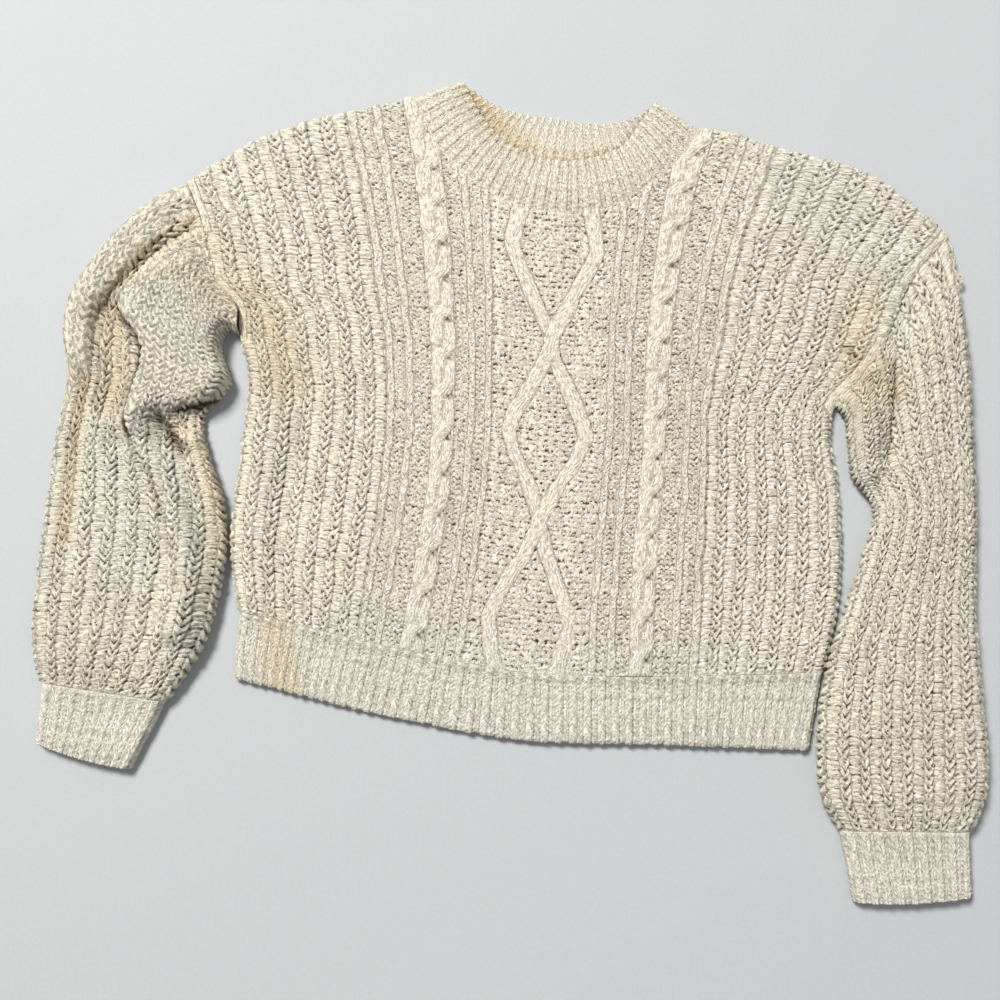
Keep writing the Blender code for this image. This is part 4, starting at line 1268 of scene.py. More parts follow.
@dataclass
class FrontPanel(Knitted):
    """The front: ropes, single ribs and diamonds on moss stitch in the middle, fisherman rib at the sides."""

    moss: Loops = Loops()
    # The purl side: rows of small arcs that hook into each other, with a hole beside each.
    ladder: Loops = Loops(width=2.35, half=1.35, reach=0.9, chequer=False, stagger=0.5, bow=0.26, loose=0.8,
                          tilt=0.6, shade=0.42, astray=(0.0, 0.0), apart=(4.7, ROW), hole=(0.17, 0.2),
                          opening=(1.9, 0.75, 1.2, 2))
    single: KnitWale = KnitWale()
    rope: Rope = Rope()
    diamonds: Diamonds = Diamonds()
    fisher: FisherRib = FisherRib()
    bands: dict[Side, SeamBand] = field(default_factory=lambda: {
        Side.LEFT: SeamBand(), Side.RIGHT: SeamBand(width=8.5, rise=1.7, slant=0.22)})
    wale_wander: Wander = Wander(0.55, 34.0, 0.55, 5.3)
    course_wander: Wander = Wander(0.8, 46.0, 0.7, 4.6)
    single_ribs: tuple[float, ...] = (50.0, 64.0, 114.0, 129.0)
    moss_half: float = 45.5  # half the width of the moss stitch
    # The three pieces, which meet in purl ladders: name, first and last wale.
    parts: tuple[tuple[str, float, float], ...] = (
        ("front_left_ribs", -241.0, -104.0), ("front_cables", -104.0, 104.0),
        ("front_right_ribs", 104.0, 241.0),
    )
    wall: float = 4.0
    swell: float = 2.0
    # How high the panel is at its edges, and how far in they are rounded.
    neck_edge: tuple[float, float] = (9.4, 8.0)
    shoulder_edge: tuple[float, float] = (5.6, 9.0)
    side_edge: tuple[float, float] = (5.4, 9.0)
    armhole_edge: tuple[float, float] = (9.2, 9.0)
    seed: int = 11

    def stitches(self, wale: Array, course: Array) -> Relief:
        """The front's stitches, without its seams.

        Args:
            wale: mm to the right of the middle.
            course: mm above the hem rib.

        Returns:
            The relief.
        """
        places = np.stack([wale, course], axis=1)
        wale = self.wale_wander.moved(wale, places, self.seed, self.seed)
        course = self.course_wander.moved(course, places, self.seed + 1, self.seed + 1)
        aside = np.abs(wale)
        last = self.single_ribs[-1]
        result = self.ladder.relief(wale, course, self.seed)
        moss = self.moss.relief(wale, course, self.seed + 2)
        result = result.blend(moss, fade(aside, self.moss_half - 0.6, self.moss_half + 0.6))
        fisher = self.fisher.relief(np.sign(wale) * (aside - last), course, self.seed + 4)
        result = result.blend(fisher, ease(aside, last + 2.2, last + 3.6))
        for k, rib in enumerate(self.single_ribs):
            off = aside - rib
            knit = self.single.relief(off, course + 1.1 * k, self.seed + k + (wale > 0) * 10)
            result = result.blend(knit, fade(off, 2.3, 3.1))
        for side in Side:
            off = wale - side.sign * self.rope.wale
            rope = self.rope.relief(off, course, self.seed)
            result = result.blend(rope, fade(off, self.rope.half_width - 1.0, self.rope.half_width + 0.6))
        strands, cover = self.diamonds.relief(wale, course)
        result = result.blend(strands, cover * fade(aside, self.moss_half - 1.0, self.moss_half + 0.4))
        return fuzzed(result, places, self.seed)

    def base(self, places: Array) -> Array:
        """Height of the plain cloth, which comes down towards the seams and the folded edges."""
        lay = self.lay
        full = lay.under_front + self.wall + self.swell + fold_height(lay.folds, places)
        full += 0.7 * waviness(places, 75.0, self.seed + 7)
        edges = [(along(lay.front_neck, np.linspace(0, 1, 24)), *self.neck_edge)]
        shares = np.linspace(0, 1, 14)
        for part in (lay.left_shoulder, lay.right_shoulder):
            edges.append((along(part, shares), *self.shoulder_edge))
        for side in Side:
            below = np.linspace(lay.underarm[side], 0.0, 14)
            edges.append((lay.panel_point(side.sign * lay.side_wale, below), *self.side_edge))
            edges.append((lay.armhole(side, shares), *self.armhole_edge))
        height = full
        for path, edge, roll in edges:
            near = unit(distance_to(path, places) / roll)
            height = np.minimum(height, edge + (full - edge) * rounded(near))
        return height

    def seams(self, relief: Relief, wale: Array, course: Array, places: Array) -> Relief:
        """Adds the bands of yarn along both armholes."""
        for side in Side:
            path = self.lay.armhole(side, np.linspace(-0.06, 1.02, 30))
            near = np.where(np.sign(wale) == side.sign, distance_to(path, places), FAR)
            band, share = self.bands[side].relief(near, course)
            tip, pit = self.lay.armhole_tip[side], self.lay.underarm[side]
            down = (tip - course) / (tip - pit)
            # Half way down, the sleeve is turned over the seam and pulls the band flat.
            relief = relief.blend(band, share * (1 - 0.8 * bell((down - 0.45) / 0.2)))
        return relief

    def build(self) -> None:
        """Builds the front in its three pieces."""
        for name, low, high in self.parts:
            wale, course, rows, tops = self.lay.panel_grid(low, high, STEP, self.lay.front_neck)
            places = self.lay.panel_point(wale, course)
            relief = self.seams(self.stitches(wale, course), wale, course, places)
            to_seam = np.minimum(distance_to(self.lay.front_neck, places), course)
            relief = relief.settled(ease(to_seam, 0.0, 2.0))
            grid = np.column_stack([places, self.base(places)]).reshape(len(rows), -1, 3)
            skin = Sheet(grid, relief, rows, self.lay.under_front).skin()
            flat, area = (high - low, float(tops.max())), float(tops.mean() * (high - low))
            self.declare(skin, name, "front_panel", Slot.CABLE, flat, area, ("back_panel",))


@dataclass
class BackPanel(Knitted):
    """The back, which lies on the surface. Its half-fisherman rib is pressed flat underneath."""

    fisher: FisherRib = FisherRib()
    wall: float = 3.8
    seed: int = 31

    def build(self) -> None:
        """Builds the back."""
        half = self.lay.side_wale
        wale, course, rows, tops = self.lay.panel_grid(-half, half, 2 * STEP, self.lay.back_neck)
        places = self.lay.panel_point(wale, course)
        stitches = self.fisher.relief(wale, course, self.seed)
        grid = np.column_stack([places, pressed(stitches.height, 1.2)]).reshape(len(rows), -1, 3)
        plain = Relief(np.zeros(len(places)), stitches.pit, stitches.across, stitches.along)
        skin = Sheet(grid, plain, rows, self.wall, downward=True).skin()
        flat, area = (2 * half, float(tops.max())), float(tops.mean() * 2 * half)
        self.declare(skin, "back_panel_knit", "back_panel", Slot.PLAIN, flat, area)


@dataclass
class HemRib(Knitted):
    """One half of the ribbed band round the hem."""

    front: bool
    rib: SingleRib = SingleRib()
    ribs: int = 46
    depth: float = 56.0  # from its seam to its edge
    columns_per_rib: int = 10
    wall: float = 4.0
    back_wall: float = 3.6
    swell: float = 2.0  # how much it rises towards its seam
    # How high it is at its ends and at its lower edge, and how far in they are rounded.
    end: tuple[float, float] = (5.4, 9.0)
    lower_edge: tuple[float, float] = (6.4, 5.0)
    seed: int = 41

    def build(self) -> None:
        """Builds the band."""
        half = self.lay.side_wale
        coarser = 1 if self.front else 2
        wales = np.linspace(-half, half, self.ribs * (self.columns_per_rib // coarser) + 1)
        count = int(round(self.depth / (coarser * STEP))) + 1
        wale = np.repeat(wales, count)
        shares = np.tile(np.linspace(0, 1, count)[::-1], len(wales))
        down = shares * self.depth
        wobble = 0.5 * waviness(np.stack([wale, down], axis=1), 30.0, self.seed)
        places = self.lay.hem_point(wale, shares)
        pitch = 2 * half / self.ribs
        relief = self.rib.relief((wale + half + wobble) / pitch + 0.5, pitch, down + wobble, self.seed)
        if self.front:
            full = self.lay.under_front + self.wall + 0.35 * waviness(places, 90.0, self.seed + 1)
            full += fold_height(self.lay.folds, places) + self.swell * (1 - ease(down, 0, 9))
            (end, end_roll), (edge, edge_roll) = self.end, self.lower_edge
            height = end + (full - end) * (rounded(unit((half - np.abs(wale)) / end_roll)) * 0.999 + 0.001)
            lower = unit((1 - shares) * self.depth / edge_roll)
            height = np.minimum(height, edge + (full - edge) * rounded(lower))
            fuzz = fuzzed(relief, np.stack([wale, down], axis=1), self.seed, BAND_FUZZ)
            surface = fuzz.settled(ease(down, 0, SETTLED))
        else:
            height = pressed(relief.height, 1.4)
            surface = relief.masked(np.zeros(len(places), bool), PLAIN_SHADE)
        grid = np.column_stack([places, height]).reshape(len(wales), count, 3)
        level = self.lay.under_front if self.front else self.back_wall
        skin = Sheet(grid, surface, np.full(len(wales), count), level, 10.0, not self.front).skin()
        node = "hem_rib_front" if self.front else "hem_rib_back"
        rests_on = ("hem_rib_back",) if self.front else ()
        self.declare(skin, f"{node}_knit", node, Slot.RIB, (2 * half, self.depth), None, rests_on)


@dataclass(frozen=True)
class TubeCut:
    """How a flattened tube's section is shaped, and how many points go round it."""

    over: int  # points over its top, without its two edges
    under: int  # points underneath
    roll: float  # how far in its edges are rounded
    lining_over: int  # points over its top, inside it
    lining_under: int = 7
    edge_height: float = 0.42  # height of its edges, as a share of its top's height
    flat_inset: float = 4.0  # how far in from its edge it lies flat on the surface
    wall: float = 4.0
    hollow: float = 3.4  # the most room between its two layers
    slit: float = 0.4  # the least
    edge_slit: float = 0.2  # the room at its edges

    def counts(self, lining: bool) -> tuple[int, int]:
        """How many points go over the top, without the edges, and underneath."""
        return (self.lining_over, self.lining_under) if lining else (self.over, self.under)

    def shares(self, width: float, lining: bool) -> tuple[Array, Array]:
        """Shares across for the points over the top, edges included, and for those underneath, back again."""
        over, under = self.counts(lining)
        inset = self.wall / width if lining else 0.0
        flat = (self.flat_inset + (self.wall if lining else 0.0)) / width
        return np.linspace(inset, 1 - inset, over + 2), np.linspace(1 - flat, flat, under)

    def levels(self, crest: float, top: Array | float, shares: Array, width: float, lining: bool) -> Array:
        """Heights of a ring's points.

        Args:
            crest: the usual height of the section's top.
            top: the top's height over each point of it.
            shares: shares across of these points.
            width: the section's width.
            lining: whether the ring is inside the tube.

        Returns:
            The heights over the top and then underneath.
        """
        edge = self.edge_height * crest
        outer = edge + (top - edge) * rounded(unit(np.minimum(shares, 1 - shares) * width / self.roll))
        _, under = self.counts(lining)
        if not lining:
            return np.concatenate([outer, np.zeros(under)])
        lid = np.clip(outer - self.wall, self.wall + self.slit, self.wall + self.hollow)
        lid[[0, -1]] = self.wall + self.edge_slit
        return np.concatenate([lid, np.full(under, self.wall)])

    def turns(self, lining: bool) -> Array:
        """How far round each point of a ring lies."""
        over, under = self.counts(lining)
        top = 0.5 * np.arange(over + 2) / (over + 1)
        return np.concatenate([top, 0.5 + 0.5 * np.arange(1, under + 1) / (under + 1)])

    def beneath(self, rings: int) -> Array:
        """Whether each point of this many outer rings is underneath."""
        return np.tile(np.arange(self.over + 2 + self.under) >= self.over + 2, rings)


@dataclass
class Sleeve(Knitted):
    """A full sleeve in half-fisherman rib, which lies flattened beside the body."""

    side: Side
    sections: Table  # outer x, outer y, inner x, inner y, height of its top
    folds: Sequence[tuple]
    laps: Sequence[Lap]
    wales: int = 8  # knit wales across its top
    fisher: FisherRib = FisherRib()
    # The same rib where the cloth is turned over and its wales are pushed together.
    bunched: FisherRib = FisherRib(8.2, cell=6.6, rise=1.9, lean=1.2, reach=4.0, bar_rise=1.2, bar_half=1.5)
    openness: float = 0.36  # how much painted shade there is between the stitches there, against the flat cloth
    turned: Sequence[tuple[int, float]] = ()  # which laps show it, and how strongly
    wale_wander: Wander = Wander(0.5, 30.0, 0.6, 5.3)
    course_wander: Wander = Wander(0.9, 40.0, 0.7, 4.6)
    cut: TubeCut = TubeCut(over=8 * 17, under=26, roll=13.0, lining_over=15)
    lowest: float = 7.5  # the least height of its top
    first_inside: float = 0.35  # section where its underside and its lining start, clear of the armhole
    lining_step: int = 12  # rings of its outer side for each ring of its lining
    seed: int = 51

    def place(self, station: float, shares: Array) -> Array:
        """Points across the sleeve at one station, which counts its sections."""
        shares = np.asarray(shares, float)
        rows = np.array(self.sections, float)
        first = self.lay.armhole(self.side, shares) + (SEAM_GAP * self.side.sign, 0.0)
        lines = [first] + [row[0:2] + (row[2:4] - row[0:2]) * shares[:, None] for row in rows[1:]]
        lines = np.array(lines)
        at = np.full(len(shares), station)
        return np.stack([smooth(at, np.arange(len(rows)), lines[:, :, k]) for k in (0, 1)], axis=1)

    def stations(self) -> tuple[Array, Array]:
        """Stations one step apart along the sleeve's middle, and how far along each lies."""
        fine = np.linspace(0, len(self.sections) - 1, 300)
        middle = np.array([self.place(station, np.array([0.5]))[0] for station in fine])
        reach = lengths(middle)
        at = np.linspace(0, reach[-1], int(round(reach[-1] / STEP)) + 1)
        return np.interp(at, reach, fine), at

    def ring(self, station: float, lining: bool) -> tuple[Array, Array]:
        """One ring of points before the stitches, and the shares across of those over the top."""
        rows = np.array(self.sections, float)
        ends = self.place(station, np.array([0.0, 1.0]))
        width = float(np.linalg.norm(ends[1] - ends[0]))
        crest = smooth(station, np.arange(len(rows)), rows[:, 4])[0]
        top, bottom = self.cut.shares(width, lining)
        above = self.place(station, top)
        below = self.place(max(station, self.first_inside), bottom)
        lift = np.max([lap.lift(above) for lap in self.laps], axis=0)
        heights = np.maximum(crest + fold_height(self.folds, above) + lift, self.lowest)
        levels = self.cut.levels(crest, heights, top, width, lining)
        return np.column_stack([np.vstack([above, below]), levels]), top

    def stitches(self, shares: Array, reach: Array, flat: Array) -> Relief:
        """The sleeve's stitches.

        Args:
            shares: how far across the cloth each point of each ring is, from 0 to 2 once round.
            reach: how far from the armhole each ring is.
            flat: x, y of each point.

        Returns:
            The relief.
        """
        rings, count = shares.shape
        wale = (shares * self.wales * self.fisher.pitch).ravel()
        places = np.stack([wale, np.repeat(reach[-1] - reach, count)], axis=1)
        course = self.course_wander.moved(places[:, 1], places, self.seed, self.seed + 1)
        wale = self.wale_wander.moved(wale, places, self.seed + 1, self.seed)
        relief = self.fisher.relief(wale, course, self.seed)
        turned = self.bunched.relief(wale, course, self.seed)
        turned.pit = self.openness * turned.pit
        for number, most in self.turned:
            lap = self.laps[number]
            relief = relief.blend(turned, most * ease(lap.lift(flat) / lap.rise, 0.12, 0.4))
        relief = fuzzed(relief, places, self.seed)
        relief = relief.settled(np.repeat(ease(reach, 0, 5) * ease(reach[-1] - reach, 0, 3), count))
        # Shade is painted beside the laps' edges; the underside keeps less of the stitches' painted shade.
        for lap in self.laps:
            relief.pit = unit(relief.pit + lap.shade(flat))
        beneath = self.cut.beneath(rings)
        relief.height = np.where(beneath, 0, relief.height)
        relief.pit = relief.pit * np.where(beneath, 0.4, 1.0)
        return relief

    def build(self) -> None:
        """Builds the sleeve."""
        stations, reach = self.stations()
        outer, top = map(np.array, zip(*(self.ring(station, False) for station in stations)))
        back = np.broadcast_to(1 + np.linspace(0, 1, self.cut.under), (len(stations), self.cut.under))
        relief = self.stitches(np.concatenate([top, back], axis=1), reach, outer[:, :, :2].reshape(-1, 2))
        lined = stations[::self.lining_step]
        lined = np.concatenate([[self.first_inside], lined[lined > 0.4], stations[-1:]])
        inner = np.array([self.ring(station, True)[0] for station in lined])
        skin = Tube(outer, self.cut.turns(False), inner, self.cut.turns(True), relief).skin()
        widths = [np.linalg.norm(ring[self.cut.over + 1, :2] - ring[0, :2]) for ring in outer[::20]]
        flat, area = (float(2 * max(widths)), float(reach[-1])), float(2 * np.mean(widths) * reach[-1])
        node = f"sleeve_{self.side.value}"
        self.declare(skin, f"{node}_knit", node, Slot.FISHERMAN, flat, area, ("floor",))


@dataclass
class Cuff(Knitted):
    """A ribbed cuff, flattened, with its end open."""

    side: Side
    sections: Table  # from its seam to its edge: outer x, outer y, inner x, inner y
    rib: SingleRib = SingleRib()
    ribs: int = 9  # across its top
    pitch: float = 11.2
    cut: TubeCut = TubeCut(over=9 * 12 - 1, under=24, roll=9.0, lining_over=13)
    depth: float = 54.0
    girth: float = 204.0  # all round
    rings: int = 56
    lining_rings: int = 8
    crest: float = 12.0
    start: float = 14.5  # how high it is at its seam
    flared: float = 0.7  # share of its depth over which it comes down from there
    droop: float = 1.2  # how much lower it is at its edge
    sag: float = 3.0  # how far its edge bows
    seed: int = 61

    def ring(self, share: float, lining: bool) -> Array:
        """One ring of points, share of the way from the seam to the edge."""
        rows = np.array(self.sections, float)
        ends = np.reshape([smooth(share, (0.0, 0.45, 1.0), rows[:, k]) for k in range(4)], (2, 2))
        width = float(np.linalg.norm(ends[1] - ends[0]))
        top, bottom = self.cut.shares(width, lining)
        shares = np.concatenate([top, bottom])
        places = ends[0] + (ends[1] - ends[0]) * shares[:, None]
        places[:, 1] -= share * self.sag * 4 * shares * (1 - shares) + SEAM_GAP * (1 - share)
        level = self.crest
        level += (self.start - self.crest) * (1 - share / self.flared) ** 2 * (share < self.flared)
        level -= self.droop * ease(np.array([share]), 0.8, 1.0)[0]
        levels = self.cut.levels(self.crest, level, top, width, lining)
        return np.column_stack([places, levels])

    def build(self) -> None:
        """Builds the cuff."""
        shares = np.linspace(0, 1, self.rings)
        outer = np.array([self.ring(share, False) for share in shares])
        inner = np.array([self.ring(share, True) for share in np.linspace(0, 1, self.lining_rings)])
        count, tops = outer.shape[1], self.cut.over + 2
        rib = np.zeros(count)
        rib[:tops] = np.linspace(0, self.ribs, tops) + 0.5
        rib = np.tile(rib, self.rings)
        course = np.repeat((1 - shares) * self.depth, count)
        relief = self.rib.relief(rib, self.pitch, course, self.seed)
        relief = fuzzed(relief, np.stack([rib * self.pitch, course], axis=1), self.seed, BAND_FUZZ)
        relief = relief.settled(ease(np.repeat(shares * self.depth, count), 0, SETTLED))
        relief = relief.masked(~self.cut.beneath(self.rings), PLAIN_SHADE)
        skin = Tube(outer, self.cut.turns(False), inner, self.cut.turns(True), relief).skin()
        node = f"cuff_{self.side.value}"
        self.declare(skin, f"{node}_knit", node, Slot.RIB, (self.girth, self.depth), None, ("floor",))


@dataclass
class Neckband(Knitted):
    """The ribbed band round the neck. Its front half lies over its back half."""

    rib: SingleRib = SingleRib(row=3.6, rise=1.9, chain=0.26, gloom=0.38)
    ribs: int = 32
    back_ribs: int = 25
    points_per_rib: int = 10
    backs: int = 64  # points round its back half, outside
    lining_fronts: int = 62  # points round its front half, inside
    rings: int = 48
    front_edge: Table = ((-39, 357), (-23, 325), (-5, 303), (24, 288), (62, 285), (98, 299), (115, 322),
                         (127, 339))
    back_edge: Table = ((-39, 357), (-12, 338), (37, 326), (84, 321), (110, 327), (127, 339))
    heights: Table = ((0.0, 9.2), (0.3, 12.0), (0.8, 12.6), (1.0, 11.0))  # of its top, by share of its depth
    wall: float = 5.2
    back_wall: float = 4.0
    bend: float = 0.05  # share of its front half over which it comes down at either end
    end_height: float = 0.42  # its height there, as a share of its top's
    depth: float = 47.0
    girth: float = 580.0  # all round
    pitches: tuple[float, float] = (11.0, 8.5)  # from one rib to the next at its seam and at its edge
    back_pitch: float = 9.2
    scallop: float = 1.1  # how far the back's ribs stand out at its edge
    shorter: float = 1.2  # how much lower the layer beneath them ends
    brink: int = 12  # how close to the edge both of these are
    lining_start: float = 0.09  # share of its depth where its inner side starts
    seed: int = 71

    def ring(self, share: float, fronts: int, backs: int, lining: bool) -> Array:
        """One ring of points: front half from left to right, then the back half from right to left."""
        inset = self.bend if lining else 0.0
        front_at = np.linspace(inset, 1 - inset, fronts)
        halves = []
        for seam, edge, at in ((self.lay.front_neck, self.front_edge, front_at),
                               (self.lay.back_neck, self.back_edge, np.linspace(1 - inset, inset, backs))):
            low, high = along(seam, at), along(edge, at)
            halves.append(low + (high - low) * share)
        front, back = halves
        crest = smooth(share, *np.array(self.heights).T)[0]
        if lining:
            front_z, back_z = np.full(fronts, crest - self.wall), np.full(backs, self.back_wall)
        else:
            bend = rounded(unit(np.minimum(front_at, 1 - front_at) / self.bend))
            front_z = self.end_height * crest + (1 - self.end_height) * crest * bend
            back_z = np.zeros(backs)
            front[[0, -1]] = (front[[0, -1]] + back[[-1, 0]]) / 2
        return np.column_stack([np.vstack([front, back[1:-1]]), np.concatenate([front_z, back_z[1:-1]])])

    def outside(self, fronts: int, shares: Array) -> Relief:
        """The stitches of its outer side, whose back half lies underneath and is plain."""
        rib = np.concatenate([np.linspace(0, self.ribs, fronts) + 0.5, np.zeros(self.backs - 2)])
        course = np.repeat(shares * self.depth, len(rib))
        pitch = np.repeat(self.pitches[0] - (self.pitches[0] - self.pitches[1]) * shares, len(rib))
        plain = np.tile(np.arange(len(rib)) >= fronts, len(shares))
        rib = np.tile(rib, len(shares))
        relief = self.rib.relief(rib, pitch, course, self.seed)
        relief = fuzzed(relief, np.stack([rib * 9.8, course], axis=1), self.seed, 0.4)
        return relief.settled(ease(course, 0, SETTLED)).masked(~plain, PLAIN_SHADE)

    def inside(self, backs: int, shares: Array, flat: Array) -> Relief:
        """The stitches of its inner side, which shows behind the neckline and has shade painted beside the
        front.
        """
        rib = np.linspace(0, self.back_ribs, backs)[1:-1] + 0.5
        rib = np.concatenate([np.zeros(self.lining_fronts), rib])
        course = np.repeat(shares * self.depth, len(rib))
        plain = np.tile(np.arange(len(rib)) < self.lining_fronts, len(shares))
        relief = self.rib.relief(np.tile(rib, len(shares)), self.back_pitch, course, self.seed + 1)
        relief.height = 0.8 * relief.height - 0.4
        relief = relief.masked(~plain, 0.5)
        relief.pit = unit(0.7 * relief.pit + 0.42 * np.exp(-distance_to(self.front_edge, flat) / 4.5))
        return relief

    def build(self) -> None:
        """Builds the neckband."""
        fronts, backs = (ribs * self.points_per_rib + 1 for ribs in (self.ribs, self.back_ribs))
        shares = np.linspace(SEAM_GAP / self.depth, 1, self.rings)
        outer = np.array([self.ring(share, fronts, self.backs, False) for share in shares])
        lining_shares = np.linspace(self.lining_start, 1, self.rings - 4)
        inner = np.array([self.ring(share, self.lining_fronts, backs, True) for share in lining_shares])
        # The back's ribs end in a scalloped edge, and the layer under them ends a little lower.
        waves = np.cos(2 * np.pi * (np.linspace(0, self.back_ribs, backs)[1:-1] + 0.5))
        inner[:, self.lining_fronts:, 1] += self.scallop * waves * lining_shares[:, None] ** self.brink
        outer[:, fronts:, 1] -= self.shorter * shares[:, None] ** self.brink
        turns = [np.concatenate([np.linspace(0, 0.5, front), 0.5 + np.linspace(0, 0.5, back)[1:-1]])
                 for front, back in ((fronts, self.backs), (self.lining_fronts, backs))]
        lining = self.inside(backs, lining_shares, inner.reshape(-1, 3)[:, :2])
        skin = Tube(outer, turns[0], inner, turns[1], self.outside(fronts, shares), lining).skin()
        flat = (self.girth, self.depth)
        self.declare(skin, "neckband_knit", "neckband", Slot.RIB, flat, None, ("front_panel",))


@dataclass
class PulledLoops(Knitted):
    """Two small loops of yarn that have been pulled out of the cloth at the right shoulder."""

    # Of each loop: x, y and z of its middle, its reach out of the cloth and along it, and its lean.
    places: Table = ((378.2, 181.0, 8.0, 3.6, 4.4, 0.3), (374.0, 199.5, 9.0, 2.6, 2.8, -0.2))
    yarn: float = 1.0  # half its thickness
    steps: int = 32
    sides: int = 10

    def build(self) -> None:
        """Builds the loops."""
        skin = Skin()
        round_loop, round_yarn = (2 * np.pi * np.arange(n) / n for n in (self.steps, self.sides))
        section = self.yarn * np.stack([np.cos(round_yarn), np.sin(round_yarn)], axis=1)
        for x, y, z, out, length, lean in self.places:
            wander = 1 + 0.1 * np.sin(2 * round_loop + x)
            rim = np.stack([out * np.cos(round_loop) * wander, length * np.sin(round_loop) * wander,
                            lean * out * np.cos(round_loop)], axis=1)
            outward = rim / np.linalg.norm(rim, axis=1, keepdims=True)
            points = rim[:, None] + outward[:, None] * section[None, :, :1]
            points = (points + section[None, :, 1:] * (0.0, 0.0, 1.0)).reshape(-1, 3) + (x, y, z)
            run = np.repeat(round_loop * length, self.sides)
            numbers = skin.add_points(points, 0.05, np.tile(round_yarn * self.yarn, self.steps), run)
            numbers = numbers.reshape(self.steps, self.sides)
            closed = np.vstack([numbers, numbers[:1]])
            skin.add_faces(grid_faces(np.column_stack([closed, closed[:, :1]])))
        thing = skin.build("pulled_yarn_loops", self.lay, self.cloth)
        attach(thing, BODY)
        log.info("pulled_yarn_loops: %d faces", len(thing.data.polygons))


# ---- the studio


@dataclass
class Studio:
    """A plain pale floor, a soft window-like light from the upper left, and the camera above the jumper."""

    target: tuple[float, float, float] = (-0.0063, -0.0210, 0.0)
    distance: float = 0.889
    tilt: float = math.radians(7.0)  # from straight down, towards the hem
    lens: float = 38.6

    def floor(self) -> None:
        """Builds the floor, just below the jumper."""
        count, half, level = 41, 2.6, -0.0003
        line = np.linspace(-half, half, count)
        x, y = np.meshgrid(line, line, indexing="ij")
        points = np.stack([x, y, np.full(x.shape, level)], axis=-1).reshape(-1, 3)
        mesh = bpy.data.meshes.new("floor")
        faces = grid_faces(np.arange(count * count).reshape(count, count))
        mesh.from_pydata(points.tolist(), [], faces.tolist())
        paint = bpy.data.materials.new("matt_studio_floor")
        paint.use_nodes = True
        tree = paint.node_tree
        shader = tree.nodes["Principled BSDF"]
        place = add_node(tree, "TexCoord").outputs["Object"]
        # Matt paint: no highlight, and a mottle of a few millimetres from the roller.
        grain = add_node(tree, "TexNoise", Vector=place, Scale=420.0, Detail=2.0)
        mottle = add_node(tree, "Mix", {"data_type": "RGBA"}, i0=grain.outputs["Fac"],
                          i6=srgb("B4B8BC"), i7=srgb("BEC2C5"))
        tree.links.new(mottle.outputs[2], shader.inputs["Base Color"])
        shader.inputs["Roughness"].default_value = 0.85
        mesh.materials.append(paint)
        new_object("floor", mesh)

    def light(self, name: str, place: tuple[float, ...], size: float, power: float, tone: str) -> None:
        """Adds a soft square light that faces the jumper."""
        lamp = bpy.data.lights.new(name, "AREA")
        lamp.size, lamp.energy, lamp.color = size, power, srgb(tone)[:3]
        thing = new_object(name, lamp)
        thing.location = place
        thing.rotation_euler = (-Vector(place)).to_track_quat("-Z", "Y").to_euler()

    def camera(self) -> None:
        """Sets the camera."""
        view = bpy.data.cameras.new("camera")
        view.sensor_width, view.lens = 36.0, self.lens
        thing = new_object("camera", view)
        x, y, z = self.target
        thing.location = (x, y - self.distance * math.sin(self.tilt), z + self.distance * math.cos(self.tilt))
        thing.rotation_euler = (self.tilt, 0.0, 0.0)
        bpy.context.scene.camera = thing

    def build(self) -> None:
        """Builds the floor, the lights and the camera."""
        self.camera()
        self.floor()
        self.light("window", (-1.6, 2.1, 3.7), 1.2, 266.0, "FFFDF8")
        self.light("fill", (1.2, -0.9, 2.2), 1.8, 7.0, "EEF3FF")
        world = bpy.data.worlds.new("soft_room")
        bpy.context.scene.world = world
        world.use_nodes = True
        sky = world.node_tree.nodes["Background"]
        sky.inputs["Color"].default_value = srgb("F3F0E9")
        sky.inputs["Strength"].default_value = 0.30
        bpy.context.scene.view_settings.view_transform = "Standard"
        log.info("studio: camera %.0f mm lens at %.3f m", self.lens, self.distance)


# Sections of the sleeves, from the armhole down: outer x, outer y, inner x, inner y, height of its top.
LEFT_SLEEVE = (
    (-274, 267, -225, 134, 10), (-303, 249, -234, 138, 14), (-330, 222, -240, 129, 17),
    (-351, 193, -240, 116, 18), (-366, 166, -236, 104, 18), (-371, 136, -232, 91, 17),
    (-366, 102, -243, 77, 16), (-369, 74, -255, 62, 15), (-374, 38, -250, 34, 16),
    (-377, -4, -236, -6, 17), (-381, -45, -232, -45, 18), (-383, -84, -237, -86, 19),
    (-383, -116, -246, -120, 19), (-380, -138, -261, -147, 17), (-376, -154, -277, -169, 14),
)
RIGHT_SLEEVE = (
    (373, 219, 272, 75, 10), (377, 178, 280, 64, 14), (379, 138, 281, 47, 16),
    (381, 100, 282, 30, 17), (381, 61, 284, 12, 17), (381, 20, 296, -4, 17),
    (380, -20, 299, -22, 17), (378, -62, 287, -60, 18), (376, -100, 272, -98, 19),
    (377, -140, 258, -138, 20), (378, -178, 249, -176, 21), (379, -212, 246, -210, 21),
    (376, -243, 249, -244, 19), (364, -270, 262, -269, 15),
)
